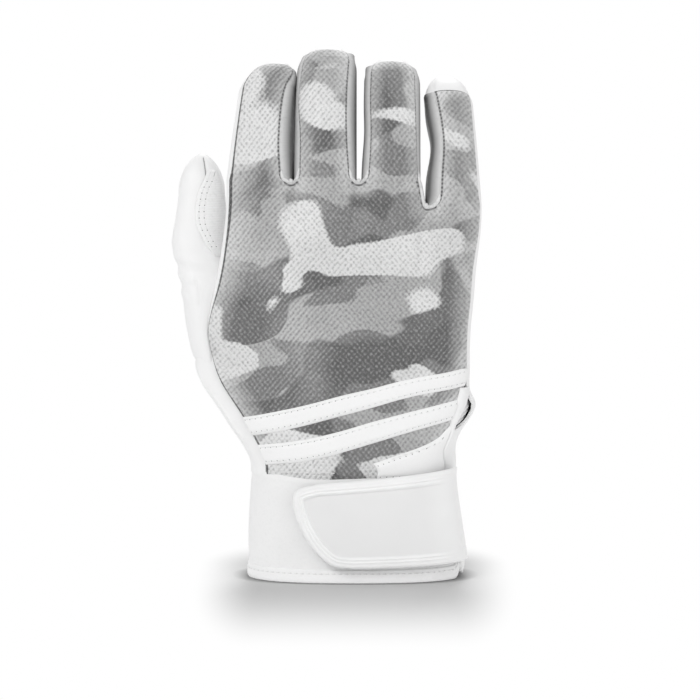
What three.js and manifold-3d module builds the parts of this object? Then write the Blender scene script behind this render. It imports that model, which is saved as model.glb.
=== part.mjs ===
// A right-hand batting glove standing on its cuff, back of the hand towards -Y, palm towards +Y, thumb at -X.
// Every panel is a cell range of one of three skins: the hand, a finger tube or the thumb tube. Panels of one
// skin are parted by narrow seam cells, so they never overlap. Millimetres, +Z up, hem on z = 0.

import * as THREE from 'three';
import { mergeVertices } from 'three/addons/utils/BufferGeometryUtils.js';
import Module from 'manifold-3d';

// Driving dimensions of the hand
const crotchHeight = 172;
const palmWidth = 113;
const palmDepth = 44;
const littleDrop = 10.5;

// Sheet goods and the clearance between neighbours
const panelWall = 1.1;
const tapeWall = 0.9;
const seam = 0.35;

// Fingers
const fingerDepth = 23;
const fingerTipDepth = 20;
const fingerDome = 10;
const fingerCurl = Math.PI / 4;
const indexLength = 53.8;
const middleLength = 60.2;
const ringLength = 54.8;
const littleLength = 58.4;

// How far each fingertip leans towards the little finger, and how far the little finger's inner side is drawn in
const indexLean = 3.6;
const middleLean = 0.6;
const ringLean = -0.8;
const littleLean = -1.2;
const littleWaist = 2.3;
const waistHeight = 24;
const waistReach = 10;

// Thumb
const thumbTop = 184.5;
const thumbDome = 10;
const thumbSplit = 136;

// Cuff, its hem tape and the elastic inside the wrist
const cuffHeight = 46;
const cuffWall = 2;
const hemTapeHeight = 6;
const elasticWidth = 9;
const elasticWall = 1;
const elasticLift = 4;

// Trim sewn over the back of the wrist
const stripeWidth = 7.6;
const stripeSpacing = 12;
const stripeHeight = 70;

// Strap: loop patch on the cuff, then hook patch, webbing and moulded tab
const strapWidth = 37;
const strapHeight = 6.8;
const strapRiseShare = 0.045;
const loopWall = 0.9;
const hookWall = 0.9;
const webbingWall = 1.1;
const tabWall = 1.5;
const rimHeight = 0.9;
const rimInset = 2.6;
const rimWidth = 1.4;
const tabSlant = 16.5;
const tabStart = -14.5;
const patchMargin = 4;
const patchEnd = 42;

// Exponents of the rounded ovals that the hand, thumb and fingers are drawn with
const handOvalShare = 2.5;
const fingerOvalShare = 2.6;
const degree = Math.PI / 180;

const wasm = await Module();
wasm.setup();

// A smooth curve through rows of [key, value, value...], the keys rising
function through(rows) {
  const slope = (k, c) => {
    const low = rows[Math.max(k - 1, 0)];
    const high = rows[Math.min(k + 1, rows.length - 1)];
    return (high[c] - low[c]) / (high[0] - low[0]);
  };
  return (key) => {
    const held = Math.min(Math.max(key, rows[0][0]), rows[rows.length - 1][0]);
    let k = 0;
    while (k < rows.length - 2 && held > rows[k + 1][0]) k += 1;
    const step = rows[k + 1][0] - rows[k][0];
    const t = (held - rows[k][0]) / step;
    return rows[k].slice(1).map((value, n) => {
      const c = n + 1;
      const rise = rows[k + 1][c] - value;
      const bow = t * (1 - t) * ((1 - t) * (slope(k, c) * step - rise) - t * (slope(k + 1, c) * step - rise));
      return value + rise * t + bow;
    });
  };
}

const spread = (from, to, cells) => Array.from({ length: cells + 1 }, (_, k) => from + ((to - from) * k) / cells);
const mix = (from, to, share) => from + (to - from) * share;
const power = (value, exponent) => Math.sign(value) * Math.abs(value) ** exponent;

// A closed sheet of the kept cells of a grid: at(row, col, inner) gives its points, walls close every open edge
function sheet(rows, cols, at, keep = () => true, wraps = false) {
  const points = [];
  const put = (...corners) => corners.forEach((corner) => points.push(...corner.toArray()));
  const has = (r, c) => {
    const col = wraps ? (c + cols) % cols : c;
    return r >= 0 && r < rows && col >= 0 && col < cols && keep(r, col);
  };
  for (let r = 0; r < rows; r += 1) {
    for (let c = 0; c < cols; c += 1) {
      if (!has(r, c)) continue;
      const next = wraps ? (c + 1) % cols : c + 1;
      const corners = [[r, c], [r, next], [r + 1, next], [r + 1, c]];
      const outer = corners.map(([row, col]) => at(row, col, false));
      const inner = corners.map(([row, col]) => at(row, col, true));
      put(outer[0], outer[1], outer[2], outer[0], outer[2], outer[3]);
      put(inner[0], inner[2], inner[1], inner[0], inner[3], inner[2]);
      const besides = [[r - 1, c], [r, c + 1], [r + 1, c], [r, c - 1]];
      besides.forEach(([row, col], side) => {
        if (has(row, col)) return;
        const end = (side + 1) % besides.length;
        put(outer[side], inner[side], inner[end], outer[side], inner[end], outer[end]);
      });
    }
  }
  return outward(points);
}

// A closed solid through rings of points, with flat ends
function loft(rings) {
  const points = [];
  const put = (...corners) => corners.forEach((corner) => points.push(...corner.toArray()));
  for (let r = 0; r + 1 < rings.length; r += 1) {
    rings[r].forEach((from, c) => {
      const next = (c + 1) % rings[r].length;
      put(from, rings[r][next], rings[r + 1][next], from, rings[r + 1][next], rings[r + 1][c]);
    });
  }
  [rings[0], rings[rings.length - 1]].forEach((ring, end) => {
    const middle = ring.reduce((sum, p) => sum.add(p), new THREE.Vector3()).divideScalar(ring.length);
    ring.forEach((from, c) => {
      const next = ring[(c + 1) % ring.length];
      put(...(end ? [middle, from, next] : [middle, next, from]));
    });
  });
  return outward(points);
}

// Merges the corners, drops collapsed triangles and turns the body's faces outwards
function outward(points) {
  const loose = new THREE.BufferGeometry();
  loose.setAttribute('position', new THREE.Float32BufferAttribute(points, 3));
  const merged = mergeVertices(loose);
  const index = merged.index.array;
  const p = merged.attributes.position;
  const corner = [0, 1, 2].map(() => new THREE.Vector3());
  const kept = [];
  let volume = 0;
  for (let k = 0; k < index.length; k += 3) {
    const [a, b, c] = [index[k], index[k + 1], index[k + 2]];
    if (a === b || b === c || a === c) continue;
    kept.push([a, b, c]);
    corner.forEach((v, n) => v.fromBufferAttribute(p, [a, b, c][n]));
    volume += corner[0].dot(corner[1].clone().cross(corner[2]));
  }
  merged.setIndex((volume < 0 ? kept.map(([a, b, c]) => [a, c, b]) : kept).flat());
  return merged;
}

function solidOf(geometry) {
  const vertProperties = Float32Array.from(geometry.attributes.position.array);
  const triVerts = Uint32Array.from(geometry.index.array);
  return new wasm.Manifold(new wasm.Mesh({ numProp: 3, vertProperties, triVerts }));
}

function cut(geometry, cutter) {
  const mesh = solidOf(geometry).subtract(solidOf(cutter)).getMesh();
  const made = new THREE.BufferGeometry();
  made.setAttribute('position', new THREE.Float32BufferAttribute(mesh.vertProperties, 3));
  made.setIndex(Array.from(mesh.triVerts));
  return made;
}

const glove = new THREE.Group();
const finishes = {
  mesh: new THREE.MeshStandardMaterial({ color: 0xb4b6b8, roughness: 0.85, metalness: 0 }),
  leather: new THREE.MeshStandardMaterial({ color: 0xf2f2f0, roughness: 0.6, metalness: 0 }),
  knit: new THREE.MeshStandardMaterial({ color: 0xe2e3e4, roughness: 0.9, metalness: 0 }),
  tape: new THREE.MeshStandardMaterial({ color: 0xf6f6f5, roughness: 0.75, metalness: 0 }),
  pile: new THREE.MeshStandardMaterial({ color: 0xdcdddd, roughness: 1, metalness: 0 }),
  rubber: new THREE.MeshStandardMaterial({ color: 0xf4f4f3, roughness: 0.45, metalness: 0 }),
};

function add(name, finish, geometry) {
  const flat = geometry.toNonIndexed();
  flat.computeVertexNormals();
  const piece = new THREE.Mesh(flat, finishes[finish]);
  piece.name = name;
  glove.add(piece);
}

// Hand skin: at each height a rounded oval, 0 degrees on the little finger's side and 90 degrees in the palm.
// Rows: share of the crotch height, then left and right as shares of the palm width, back and palm of its depth.
const handShares = [
  [0, -0.296, 0.513, 0.568, 0.568],
  [0.116, -0.296, 0.487, 0.568, 0.568],
  [0.256, -0.286, 0.458, 0.534, 0.545],
  [0.302, -0.288, 0.47, 0.511, 0.534],
  [0.407, -0.35, 0.525, 0.443, 0.523],
  [0.494, -0.42, 0.547, 0.4, 0.523],
  [0.581, -0.451, 0.549, 0.375, 0.511],
  [0.628, -0.458, 0.552, 0.36, 0.5],
  [0.703, -0.438, 0.563, 0.34, 0.455],
  [0.82, -0.404, 0.575, 0.307, 0.364],
  [0.959, -0.384, 0.59, 0.268, 0.28],
  [1, -0.382, 0.592, 0.261, 0.261],
];
const handAt = through(handShares);

function handOval(z) {
  const [left, right, back, palm] = handAt(z / crotchHeight);
  return {
    middle: ((left + right) / 2) * palmWidth,
    half: ((right - left) / 2) * palmWidth,
    back: back * palmDepth,
    palm: palm * palmDepth,
  };
}

function handPoint(angle, z, offset = 0) {
  const oval = handOval(z);
  const depth = Math.sin(angle) < 0 ? oval.back : oval.palm;
  return new THREE.Vector3(
    oval.middle + (oval.half + offset) * power(Math.cos(angle), 2 / handOvalShare),
    (depth + offset) * power(Math.sin(angle), 2 / handOvalShare),
    z,
  );
}

// The angle of the point of the back that shows at x when seen from the front
function backAngle(x, z, offset = 0) {
  const oval = handOval(z);
  const share = Math.min(Math.max((x - oval.middle) / (oval.half + offset), -1), 1);
  return 2 * Math.PI - Math.acos(power(share, handOvalShare / 2));
}

// Fingers: centres and widths as shares of the palm width, from the base to the tip
const bothSides = ['ulnar', 'thumb'];
const fingers = [
  {
    name: 'index',
    length: indexLength,
    lean: indexLean,
    waist: 0,
    centreShares: [-0.2575, -0.219],
    widthShares: [0.2495, 0.2],
    sides: ['ulnar'],
  },
  {
    name: 'middle',
    length: middleLength,
    lean: middleLean,
    waist: 0,
    centreShares: [-0.0033, 0.003],
    widthShares: [0.2358, 0.224],
    sides: bothSides,
  },
  {
    name: 'ring',
    length: ringLength,
    lean: ringLean,
    waist: 0,
    centreShares: [0.245, 0.252],
    widthShares: [0.226, 0.212],
    sides: bothSides,
  },
  {
    name: 'little',
    length: littleLength,
    lean: littleLean,
    waist: littleWaist,
    centreShares: [0.484, 0.463],
    widthShares: [0.215, 0.176],
    sides: ['thumb'],
  },
];
const fingerBase = (finger) => crotchHeight - (finger.name === 'little' ? littleDrop : 0);

// Finger skin: rounded ovals square to a centre line that bends evenly towards the palm, closed by a dome
function fingerPoint(finger, angle, along, dome, offset) {
  const reach = along + (fingerDome + offset) * Math.sin(dome);
  const share = Math.min(reach / finger.length, 1);
  const turn = (fingerCurl * reach) / finger.length;
  const radius = finger.length / fingerCurl;
  const half = (mix(...finger.widthShares, share) * palmWidth) / 2 + offset;
  const depth = mix(fingerDepth, fingerTipDepth, share) / 2 + offset;
  const out = depth * power(Math.sin(angle), 2 / fingerOvalShare) * Math.cos(dome);
  const side = power(Math.cos(angle), 2 / fingerOvalShare);
  const drawn = finger.waist * Math.max(-side, 0) * Math.exp(-(((reach - waistHeight) / waistReach) ** 2));
  const middle = mix(...finger.centreShares, share) * palmWidth + finger.lean * Math.sin(dome);
  return new THREE.Vector3(
    middle + half * side * Math.cos(dome) + drawn,
    radius * (1 - Math.cos(turn)) + out * Math.cos(turn),
    fingerBase(finger) + seam / 2 + radius * Math.sin(turn) - out * Math.sin(turn),
  );
}

// Columns of a finger: four panels parted by seam cells. Rows: the straight part, then the dome to its pole.
const backTurn = 42 * degree;
const palmTurn = 32 * degree;
const girthShare = 0.8;
const tipSeam = 40 * degree;
const panelCells = { back: 6, ulnar: 3, palm: 6, thumb: 3 };
const straightCells = 7;
const domeTurns = [0.5, 1].map((share) => share * tipSeam);
const capTurns = [62, 78, 90].map((turn) => turn * degree);

for (const finger of fingers) {
  const slit = seam / ((palmWidth * finger.widthShares[0] * girthShare) / 2);
  const spans = [
    ['back', Math.PI + backTurn, 2 * Math.PI - backTurn],
    ['ulnar', 2 * Math.PI - backTurn, 2 * Math.PI + palmTurn],
    ['palm', 2 * Math.PI + palmTurn, 3 * Math.PI - palmTurn],
    ['thumb', 3 * Math.PI - palmTurn, 3 * Math.PI + backTurn],
  ];
  const angles = [];
  const owners = [];
  for (const [panel, from, to] of spans) {
    spread(from + slit / 2, to - slit / 2, panelCells[panel]).forEach((angle, k) => {
      angles.push(angle);
      owners.push(k < panelCells[panel] ? panel : 'seam');
    });
  }
  // The palm leather also takes the side that has no sidewall strip, with the seam between them
  const bare = ['ulnar', 'thumb'].find((side) => !finger.sides.includes(side));
  const bareSeam = bare === 'ulnar' ? owners.lastIndexOf('ulnar') + 1 : owners.lastIndexOf('palm') + 1;
  owners.forEach((owner, c) => {
    if (bare && (owner === bare || c === bareSeam)) owners[c] = 'palm';
  });
  const straight = finger.length - fingerDome;
  const slitTurn = seam / fingerDome;
  const stations = [
    ...spread(0, straight, straightCells).map((along) => [along, 0]),
    ...domeTurns.map((turn) => [straight, turn]),
    [straight, tipSeam + slitTurn],
    ...capTurns.map((turn) => [straight, turn]),
  ];
  const seamRow = straightCells + domeTurns.length;
  const at = (row, col, inner) =>
    fingerPoint(finger, angles[col], ...stations[row], inner ? -panelWall : 0);
  const made = (keep) => sheet(stations.length - 1, angles.length, at, keep, true);
  add(`${finger.name}_back`, 'mesh', made((r, c) => owners[c] === 'back' && r < seamRow));
  add(`${finger.name}_palm`, 'leather', made((r, c) => owners[c] === 'palm' || r > seamRow));
  for (const side of finger.sides) {
    add(`${finger.name}_fourchette_${side}_side`, 'knit', made((r, c) => owners[c] === side && r < seamRow));
  }
}

// Hand panels: the mesh back and the leather palm, open at the top under the fingers and slit at the wrist
const backSeamThumb = Math.PI + 14 * degree;
const backSeamLittle = 2 * Math.PI - 12 * degree;
const ventReach = 20 * degree;
const ventShare = 0.34;
const ventFlareShare = 0.7;
const ventShutShares = [0.09, 0.19];
const handRows = 15;
const rowCrowding = 1.35;
const backCells = 22;
const palmCells = 24;
const edgeOf = (finger, side) => (finger.centreShares[0] + (side * finger.widthShares[0]) / 2) * palmWidth;
const littleEdge = (edgeOf(fingers[2], 1) + edgeOf(fingers[3], -1)) / 2;

// The vent narrows from the cuff up to nothing at a share of the hand's height
function ventOpening(share) {
  return ventReach * Math.max(0, 1 - share / ventShare) ** ventFlareShare;
}

// Low down the leather's edge comes forward and closes the vent
function ventShut(share) {
  const [shut, open] = ventShutShares;
  return ventOpening(share) * Math.min(Math.max((open - share) / (open - shut), 0), 1);
}

const panelFoot = cuffHeight + seam;
const settlePasses = 6;
const topOf = (x) => crotchHeight - seam / 2 - (x > littleEdge ? littleDrop : 0);

function handPanel(cells, from, to, inner, outer = 0) {
  const at = (row, col, isInner) => {
    const share = (row / handRows) ** rowCrowding;
    const angle = mix(from(share), to(share), col / cells);
    const top = topOf(handPoint(angle, crotchHeight).x);
    return handPoint(angle, mix(panelFoot, top, share), isInner ? inner : outer);
  };
  return sheet(handRows, cells, at);
}

const handSlitShare = 0.25;
const handSlit = seam / (palmDepth * handSlitShare);
const backPanel = handPanel(
  backCells,
  () => backSeamThumb + handSlit / 2,
  (share) => backSeamLittle - handSlit / 2 - ventOpening(share),
  -panelWall,
);
const palmPanel = handPanel(
  palmCells,
  (share) => backSeamLittle + handSlit / 2 - 2 * Math.PI - ventShut(share),
  () => backSeamThumb - handSlit / 2,
  -panelWall,
);
add('back_panel', 'mesh', backPanel);

// Thumb skin: level rounded ovals under a dome. Rows: height as a share of the crotch height, then the centre's
// x and the half width as shares of the palm width, with the centre's y as a share of its depth.
const thumbShares = [
  [0.46, -0.262, 0.15, 0.09],
  [0.5, -0.327, 0.19, 0.111],
  [0.541, -0.382, 0.23, 0.124],
  [0.61, -0.411, 0.262, 0.127],
  [0.698, -0.442, 0.296, 0.115],
  [0.767, -0.466, 0.36, 0.102],
  [0.855, -0.491, 0.38, 0.097],
  [0.959, -0.481, 0.35, 0.09],
  [1.02, -0.484, 0.32, 0.085],
].map(([key, x, y, half]) => [key, x * palmWidth, y * palmDepth, half * palmWidth]);
const thumbAt = through(thumbShares);

function thumbPoint(angle, z, dome, offset) {
  const [x, y, half] = thumbAt(z / crotchHeight);
  const grown = (half + offset) * Math.cos(dome);
  return new THREE.Vector3(
    x + grown * power(Math.cos(angle), 2 / handOvalShare),
    y + grown * power(Math.sin(angle), 2 / handOvalShare),
    z + (thumbDome + offset) * Math.sin(dome),
  );
}

const thumbFoot = thumbShares[0][0] * crotchHeight;
const thumbCols = 24;
const thumbRows = 8;
const plugCols = 2 * thumbCols;
const plugRows = 12;
const turnOf = (cells) => spread(0, 2 * Math.PI, cells);
const thumbRing = (z, offset) => turnOf(thumbCols).slice(1).map((angle) => thumbPoint(angle, z, 0, offset));
const handRing = (z, offset) => turnOf(plugCols).slice(1).map((angle) => handPoint(angle, z, offset));
const thumbPlug = loft(spread(thumbFoot, thumbSplit, thumbRows).map((z) => thumbRing(z, seam)));
const handPlug = loft(spread(cuffHeight, thumbSplit, plugRows).map((z) => handRing(z, seam)));
add('palm_panel', 'leather', cut(palmPanel, thumbPlug));

const baseRows = spread(thumbFoot, thumbSplit - seam / 2, thumbRows);
const baseCols = turnOf(thumbCols);
const thumbBase = sheet(
  baseRows.length - 1,
  baseCols.length - 1,
  (row, col, inner) => thumbPoint(baseCols[col], baseRows[row], 0, inner ? -panelWall : 0),
  () => true,
  true,
);
add('thumb_base', 'leather', cut(thumbBase, handPlug));

// Thumb stall: outer leather with the tip, inner leather facing the index, parted by two seams
const thumbFront = 280 * degree;
const thumbRear = 460 * degree;
const thumbSlit = seam / thumbAt(1)[2];
const innerCols = 9;
const outerCols = 9;
const stallRows = 7;
const stallAngles = [
  ...spread(thumbFront + thumbSlit / 2, thumbRear - thumbSlit / 2, innerCols),
  ...spread(thumbRear + thumbSlit / 2, thumbFront + 2 * Math.PI - thumbSlit / 2, outerCols),
];
const stallTop = thumbTop - thumbDome;
const stallStations = [
  ...spread(thumbSplit + seam / 2, stallTop, stallRows).map((z) => [z, 0]),
  ...domeTurns.map((turn) => [stallTop, turn]),
  [stallTop, tipSeam + seam / thumbDome],
  ...capTurns.map((turn) => [stallTop, turn]),
];
const stallSeam = stallRows + domeTurns.length;
const stallAt = (row, col, inner) =>
  thumbPoint(stallAngles[col], ...stallStations[row], inner ? -panelWall : 0);
const stall = (keep) => sheet(stallStations.length - 1, stallAngles.length, stallAt, keep, true);
const isOuter = (c) => c > innerCols && c < stallAngles.length - 1;
add('thumb_inner', 'leather', stall((r, c) => c < innerCols && r < stallSeam));
add('thumb_outer', 'leather', stall((r, c) => isOuter(c) || r > stallSeam));

// Lens-shaped wear patch stitched over the front of the thumb
const patchFootShare = 0.08;
const patchTopShare = 1;
const patchAngles = [268 * degree, 344 * degree];
const patchEndShares = [0.12, 0.9];
const patchPointShare = 0.6;
const patchRows = 8;
const patchCols = 6;
const patchFoot = mix(thumbSplit, stallTop, patchFootShare);
const patchTop = mix(thumbSplit, stallTop, patchTopShare);
add('thumb_patch', 'leather', sheet(patchRows, patchCols, (row, col, inner) => {
  const swell = Math.sin(Math.PI * mix(...patchEndShares, row / patchRows)) ** patchPointShare;
  const middle = (patchAngles[0] + patchAngles[1]) / 2;
  const half = ((patchAngles[1] - patchAngles[0]) / 2) * swell;
  const angle = middle + half * mix(-1, 1, col / patchCols);
  return thumbPoint(angle, mix(patchFoot, patchTop, row / patchRows), 0, inner ? seam : seam + tapeWall);
}));

// Webs: the floor of each slit between two fingers, a strip that dips along the slit
const webRows = 6;
const webCols = 4;
const webLap = 2 * panelWall;
const webClear = panelWall + 2 * seam;
const webDrop = 2 * seam;
fingers.slice(1).forEach((finger, k) => {
  const before = fingers[k];
  const left = edgeOf(before, 1);
  const right = edgeOf(finger, -1);
  const floor = Math.min(fingerBase(before), fingerBase(finger)) - webDrop;
  add(`web_${before.name}_${finger.name}`, 'knit', sheet(webRows, webCols, (row, col, inner) => {
    const across = mix(-1, 1, col / webCols);
    const x = mix(left - webLap, right + webLap, col / webCols);
    const angle = backAngle(x, floor);
    const front = handPoint(angle, floor).y + webClear;
    const rear = handPoint(2 * Math.PI - angle, floor).y - webClear;
    const sink = panelWall * (1 - across * across) + (inner ? panelWall : 0);
    return new THREE.Vector3(x, mix(front, rear, row / webRows), floor - sink);
  }));
});

// The back panel's edge beside the vent, and places on the panel by their share of the way across it
const ventEdge = (z) => {
  const share = (z - panelFoot) / (crotchHeight - panelFoot);
  return backSeamLittle - handSlit / 2 - ventOpening(share);
};
const across = (share, z) => mix(backSeamThumb + handSlit / 2, ventEdge(z), share);

const stripRows = 2;

// Trim on the back of the wrist, laid on the mesh: its edges are heights over x, as seen from the front
function backStrip([from, to], cells, low, high) {
  return sheet(stripRows, cells, (row, col, inner) => {
    const share = mix(from, to, col / cells);
    let z = low(0);
    for (let pass = 0; pass < settlePasses; pass += 1) {
      const { x } = handPoint(across(share, z), z);
      z = mix(low(x), high(x), row / stripRows);
    }
    return handPoint(across(share, z), z, inner ? seam : seam + tapeWall);
  });
}

const sweepRiseShare = 0.23;
const sweepBowShare = 0.09;
const stripeReachShares = [-0.27, 0.49];
const upperSpanShares = [0.01, 0.935];
const lowerSpanShares = [0.01, 0.93];
const stripeCells = 30;
const [stripeLeft, stripeRight] = stripeReachShares.map((share) => share * palmWidth);
const stripeMiddle = (stripeLeft + stripeRight) / 2;
const stripeHalf = (stripeRight - stripeLeft) / 2;

// Both stripes climb towards the little finger, steeper as they go
function stripeEdge(x) {
  const share = (x - stripeMiddle) / stripeHalf;
  return stripeHeight + stripeHalf * (sweepRiseShare * share + sweepBowShare * share * share);
}
const upper = (x) => stripeEdge(x);
const lower = (x) => stripeEdge(x) - stripeSpacing;
const upperTop = (x) => upper(x) + stripeWidth;
const lowerTop = (x) => lower(x) + stripeWidth;
add('upper_stripe', 'tape', backStrip(upperSpanShares, stripeCells, upper, upperTop));
add('lower_stripe', 'tape', backStrip(lowerSpanShares, stripeCells, lower, lowerTop));

// White wedge that fills the corner between the lower stripe, the vent and the cuff
const wedgeStartShare = 0.03;
const wedgeRiseShare = 0.35;
const wedgeSpanShares = [0.535, 0.93];
const wedgeCells = 16;
const wedgeTop = (x) => {
  const climb = panelFoot + (x - wedgeStartShare * palmWidth) * wedgeRiseShare;
  return Math.max(panelFoot + seam, Math.min(lower(x) - seam, climb));
};
add('wedge_panel', 'tape', backStrip(wedgeSpanShares, wedgeCells, () => panelFoot, wedgeTop));

// Tape along the edge of the vent
const ventRows = 8;
const ventCols = 2;
const ventTop = mix(panelFoot, crotchHeight, ventShare);
const tapeShares = [0.945, 0.995];
add('vent_binding', 'tape', sheet(ventRows, ventCols, (row, col, inner) => {
  const z = mix(panelFoot, ventTop, row / ventRows);
  return handPoint(across(mix(...tapeShares, col / ventCols), z), z, inner ? seam : seam + tapeWall);
}));

// Cuff: one band round the wrist, open at the little finger's side, with a tape folded round its hem
const cuffOpen = 342 * degree;
const cuffShut = 352 * degree - 2 * Math.PI;
const cuffCells = 36;
const cuffRows = 4;
const hemGap = tapeWall + seam;
const cuffAngle = (col) => mix(cuffShut, cuffOpen, col / cuffCells);
add('cuff_band', 'knit', sheet(cuffRows, cuffCells, (row, col, inner) =>
  handPoint(cuffAngle(col), mix(hemGap, cuffHeight, row / cuffRows), inner ? -cuffWall : 0)));
const hemOuter = [
  [hemGap, hemTapeHeight],
  [hemGap, 0],
  [-cuffWall - hemGap, 0],
  [-cuffWall - hemGap, hemTapeHeight],
];
const hemInner = [
  [seam, hemTapeHeight],
  [seam, tapeWall],
  [-cuffWall - seam, tapeWall],
  [-cuffWall - seam, hemTapeHeight],
];
add('cuff_hem_tape', 'tape', sheet(hemOuter.length - 1, cuffCells, (row, col, inner) => {
  const [offset, z] = (inner ? hemInner : hemOuter)[row];
  return handPoint(cuffAngle(col), z, offset);
}));
const elasticFoot = cuffHeight + elasticLift;
const elasticRows = 2;
const elasticCells = 14;
const elasticAngles = [18 * degree, 162 * degree];
add('wrist_elastic', 'pile', sheet(elasticRows, elasticCells, (row, col, inner) => {
  const angle = mix(...elasticAngles, col / elasticCells);
  const offset = -panelWall - seam - (inner ? elasticWall : 0);
  return handPoint(angle, elasticFoot + (elasticWidth * row) / elasticRows, offset);
}));

// Strap layers, from the cuff outwards
const loopInner = seam;
const hookInner = loopInner + loopWall + seam;
const webbingInner = hookInner + hookWall + seam;
const tabInner = webbingInner + webbingWall + seam;
const strapHinge = -8 * degree;

// The strap's front end leans: its lower corner lies further from the thumb, and both corners are rounded
const strapEndShares = [
  [0, 1.1],
  [0.03, 0.9],
  [0.07, 0.8],
  [0.18, 0.65],
  [0.38, 0.43],
  [0.62, 0.15],
  [0.8, 0],
  [0.92, 0.06],
  [0.97, 0.26],
  [1, 0.6],
];
const strapEnd = through(strapEndShares);
const strapFront = (height) => tabStart + tabSlant * strapEnd(height)[0];

// A place on the strap, by the share of its width above its lower edge and by x
const strapZ = (height, x) => strapHeight + strapWidth * height + strapRiseShare * x;

function strapPoint(height, x, offset) {
  return handPoint(backAngle(x, strapZ(height, x), offset), strapZ(height, x), offset);
}

// A place part of the way from a front end at x round to the hinge
function strapSpan(height, x, share, offset) {
  const start = backAngle(x, strapZ(height, x), offset);
  const angle = mix(start, 2 * Math.PI + strapHinge, share);
  const z = strapZ(height, handPoint(angle, strapZ(height, x), offset).x);
  return handPoint(angle, z, offset);
}

const rimFoot = rimInset + 2 * rimWidth;
const edgeSteps = [0, rimInset, rimInset + rimWidth / 2, rimInset + rimWidth];
const fieldCells = 4;
const acrossSteps = [...edgeSteps, ...spread(rimFoot, strapWidth - rimFoot, fieldCells),
  ...[...edgeSteps].reverse().map((step) => strapWidth - step)];
const steps = [...edgeSteps, rimFoot];
const tabCols = 16;
const tabEndShare = 0.92;
const tabRim = (row, col) => {
  const level = Math.min(row, col, acrossSteps.length - 1 - row);
  return level > 0 && level < edgeSteps.length ? rimHeight : 0;
};
add('strap_tab', 'rubber', sheet(acrossSteps.length - 1, steps.length - 1 + tabCols, (row, col, inner) => {
  const height = acrossSteps[row] / strapWidth;
  const end = strapFront(height);
  const offset = inner ? tabInner : tabInner + tabWall + tabRim(row, col);
  if (col < steps.length) return strapPoint(height, end + steps[col], offset);
  const share = (tabEndShare * (col - steps.length + 1)) / tabCols;
  return strapSpan(height, end + rimFoot, share, offset);
}));

const layerRows = 6;
const webbingCells = 20;
const webbingInset = rimInset / 2;
const hookCells = 10;
const hookEndShare = 0.5;

function strapLayer(cells, margin, share, inner, outer) {
  return sheet(layerRows, cells, (row, col, isInner) => {
    const height = mix(margin / strapWidth, 1 - margin / strapWidth, row / layerRows);
    const end = strapFront(height) + margin;
    return strapSpan(height, end, (share * col) / cells, isInner ? inner : outer);
  });
}
const webbing = strapLayer(webbingCells, webbingInset, 1, webbingInner, webbingInner + webbingWall);
add('strap_webbing', 'tape', webbing);
const hooks = strapLayer(hookCells, patchMargin, hookEndShare, hookInner, hookInner + hookWall);
add('hook_patch', 'pile', hooks);

// The strap's sewn end, from the hinge round to the palm side of the cuff
const rootAngles = [strapHinge + 1.5 * degree, 62 * degree];
const rootRows = 4;
const rootCells = 12;
const rootSettleShare = 1 / 3;
const rootLift = strapHeight + handPoint(strapHinge, strapHeight).x * strapRiseShare;
add('strap_root', 'tape', sheet(rootRows, rootCells, (row, col, inner) => {
  const angle = mix(...rootAngles, col / rootCells);
  const z = rootLift + mix(webbingInset, strapWidth - webbingInset, row / rootRows);
  const settle = mix(webbingInner, seam, Math.min(1, col / rootCells / rootSettleShare));
  return handPoint(angle, z, inner ? settle : settle + webbingWall);
}));

// Loop pile on the back of the cuff, under the strap
const loopLow = hemTapeHeight + seam;
const loopHigh = cuffHeight - patchMargin;
const loopStart = tabStart + 2 * patchMargin;
const loopRows = 3;
const loopCells = 10;
add('loop_patch', 'pile', sheet(loopRows, loopCells, (row, col, inner) => {
  const z = mix(loopLow + patchMargin, loopHigh, row / loopRows);
  const angle = backAngle(mix(loopStart, patchEnd, col / loopCells), z);
  return handPoint(angle, z, inner ? loopInner : loopInner + loopWall);
}));

// The origin lies under the middle of the whole glove, on the surface that the hem stands on
const extent = new THREE.Box3().setFromObject(glove);
const centre = extent.getCenter(new THREE.Vector3());
glove.position.set(-centre.x, -centre.y, -extent.min.z);

export default glove;
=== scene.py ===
import math
from math import pi, radians

import bmesh
import bpy
import numpy as np
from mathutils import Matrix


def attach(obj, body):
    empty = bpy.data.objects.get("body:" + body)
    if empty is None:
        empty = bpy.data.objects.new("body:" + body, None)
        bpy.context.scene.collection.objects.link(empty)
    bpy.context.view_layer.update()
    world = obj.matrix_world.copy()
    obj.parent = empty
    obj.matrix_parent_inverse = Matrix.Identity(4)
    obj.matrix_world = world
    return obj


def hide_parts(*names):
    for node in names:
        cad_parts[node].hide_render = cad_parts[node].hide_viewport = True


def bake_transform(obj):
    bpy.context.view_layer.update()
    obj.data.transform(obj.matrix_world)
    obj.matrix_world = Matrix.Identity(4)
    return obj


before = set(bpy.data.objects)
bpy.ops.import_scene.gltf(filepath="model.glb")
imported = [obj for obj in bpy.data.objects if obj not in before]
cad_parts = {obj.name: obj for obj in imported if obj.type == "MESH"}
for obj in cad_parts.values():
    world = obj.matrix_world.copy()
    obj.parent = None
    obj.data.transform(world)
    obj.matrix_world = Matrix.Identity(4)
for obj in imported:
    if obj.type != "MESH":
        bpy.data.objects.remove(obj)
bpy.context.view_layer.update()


# Mesh backs of the fingers
# Each finger's back is printed diamond-knit mesh, cut in one piece with the back of the hand. It is sewn to
# the sidewall strips with a narrow inward seam, and ends at the leather cap that rolls over the fingertip.

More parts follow.
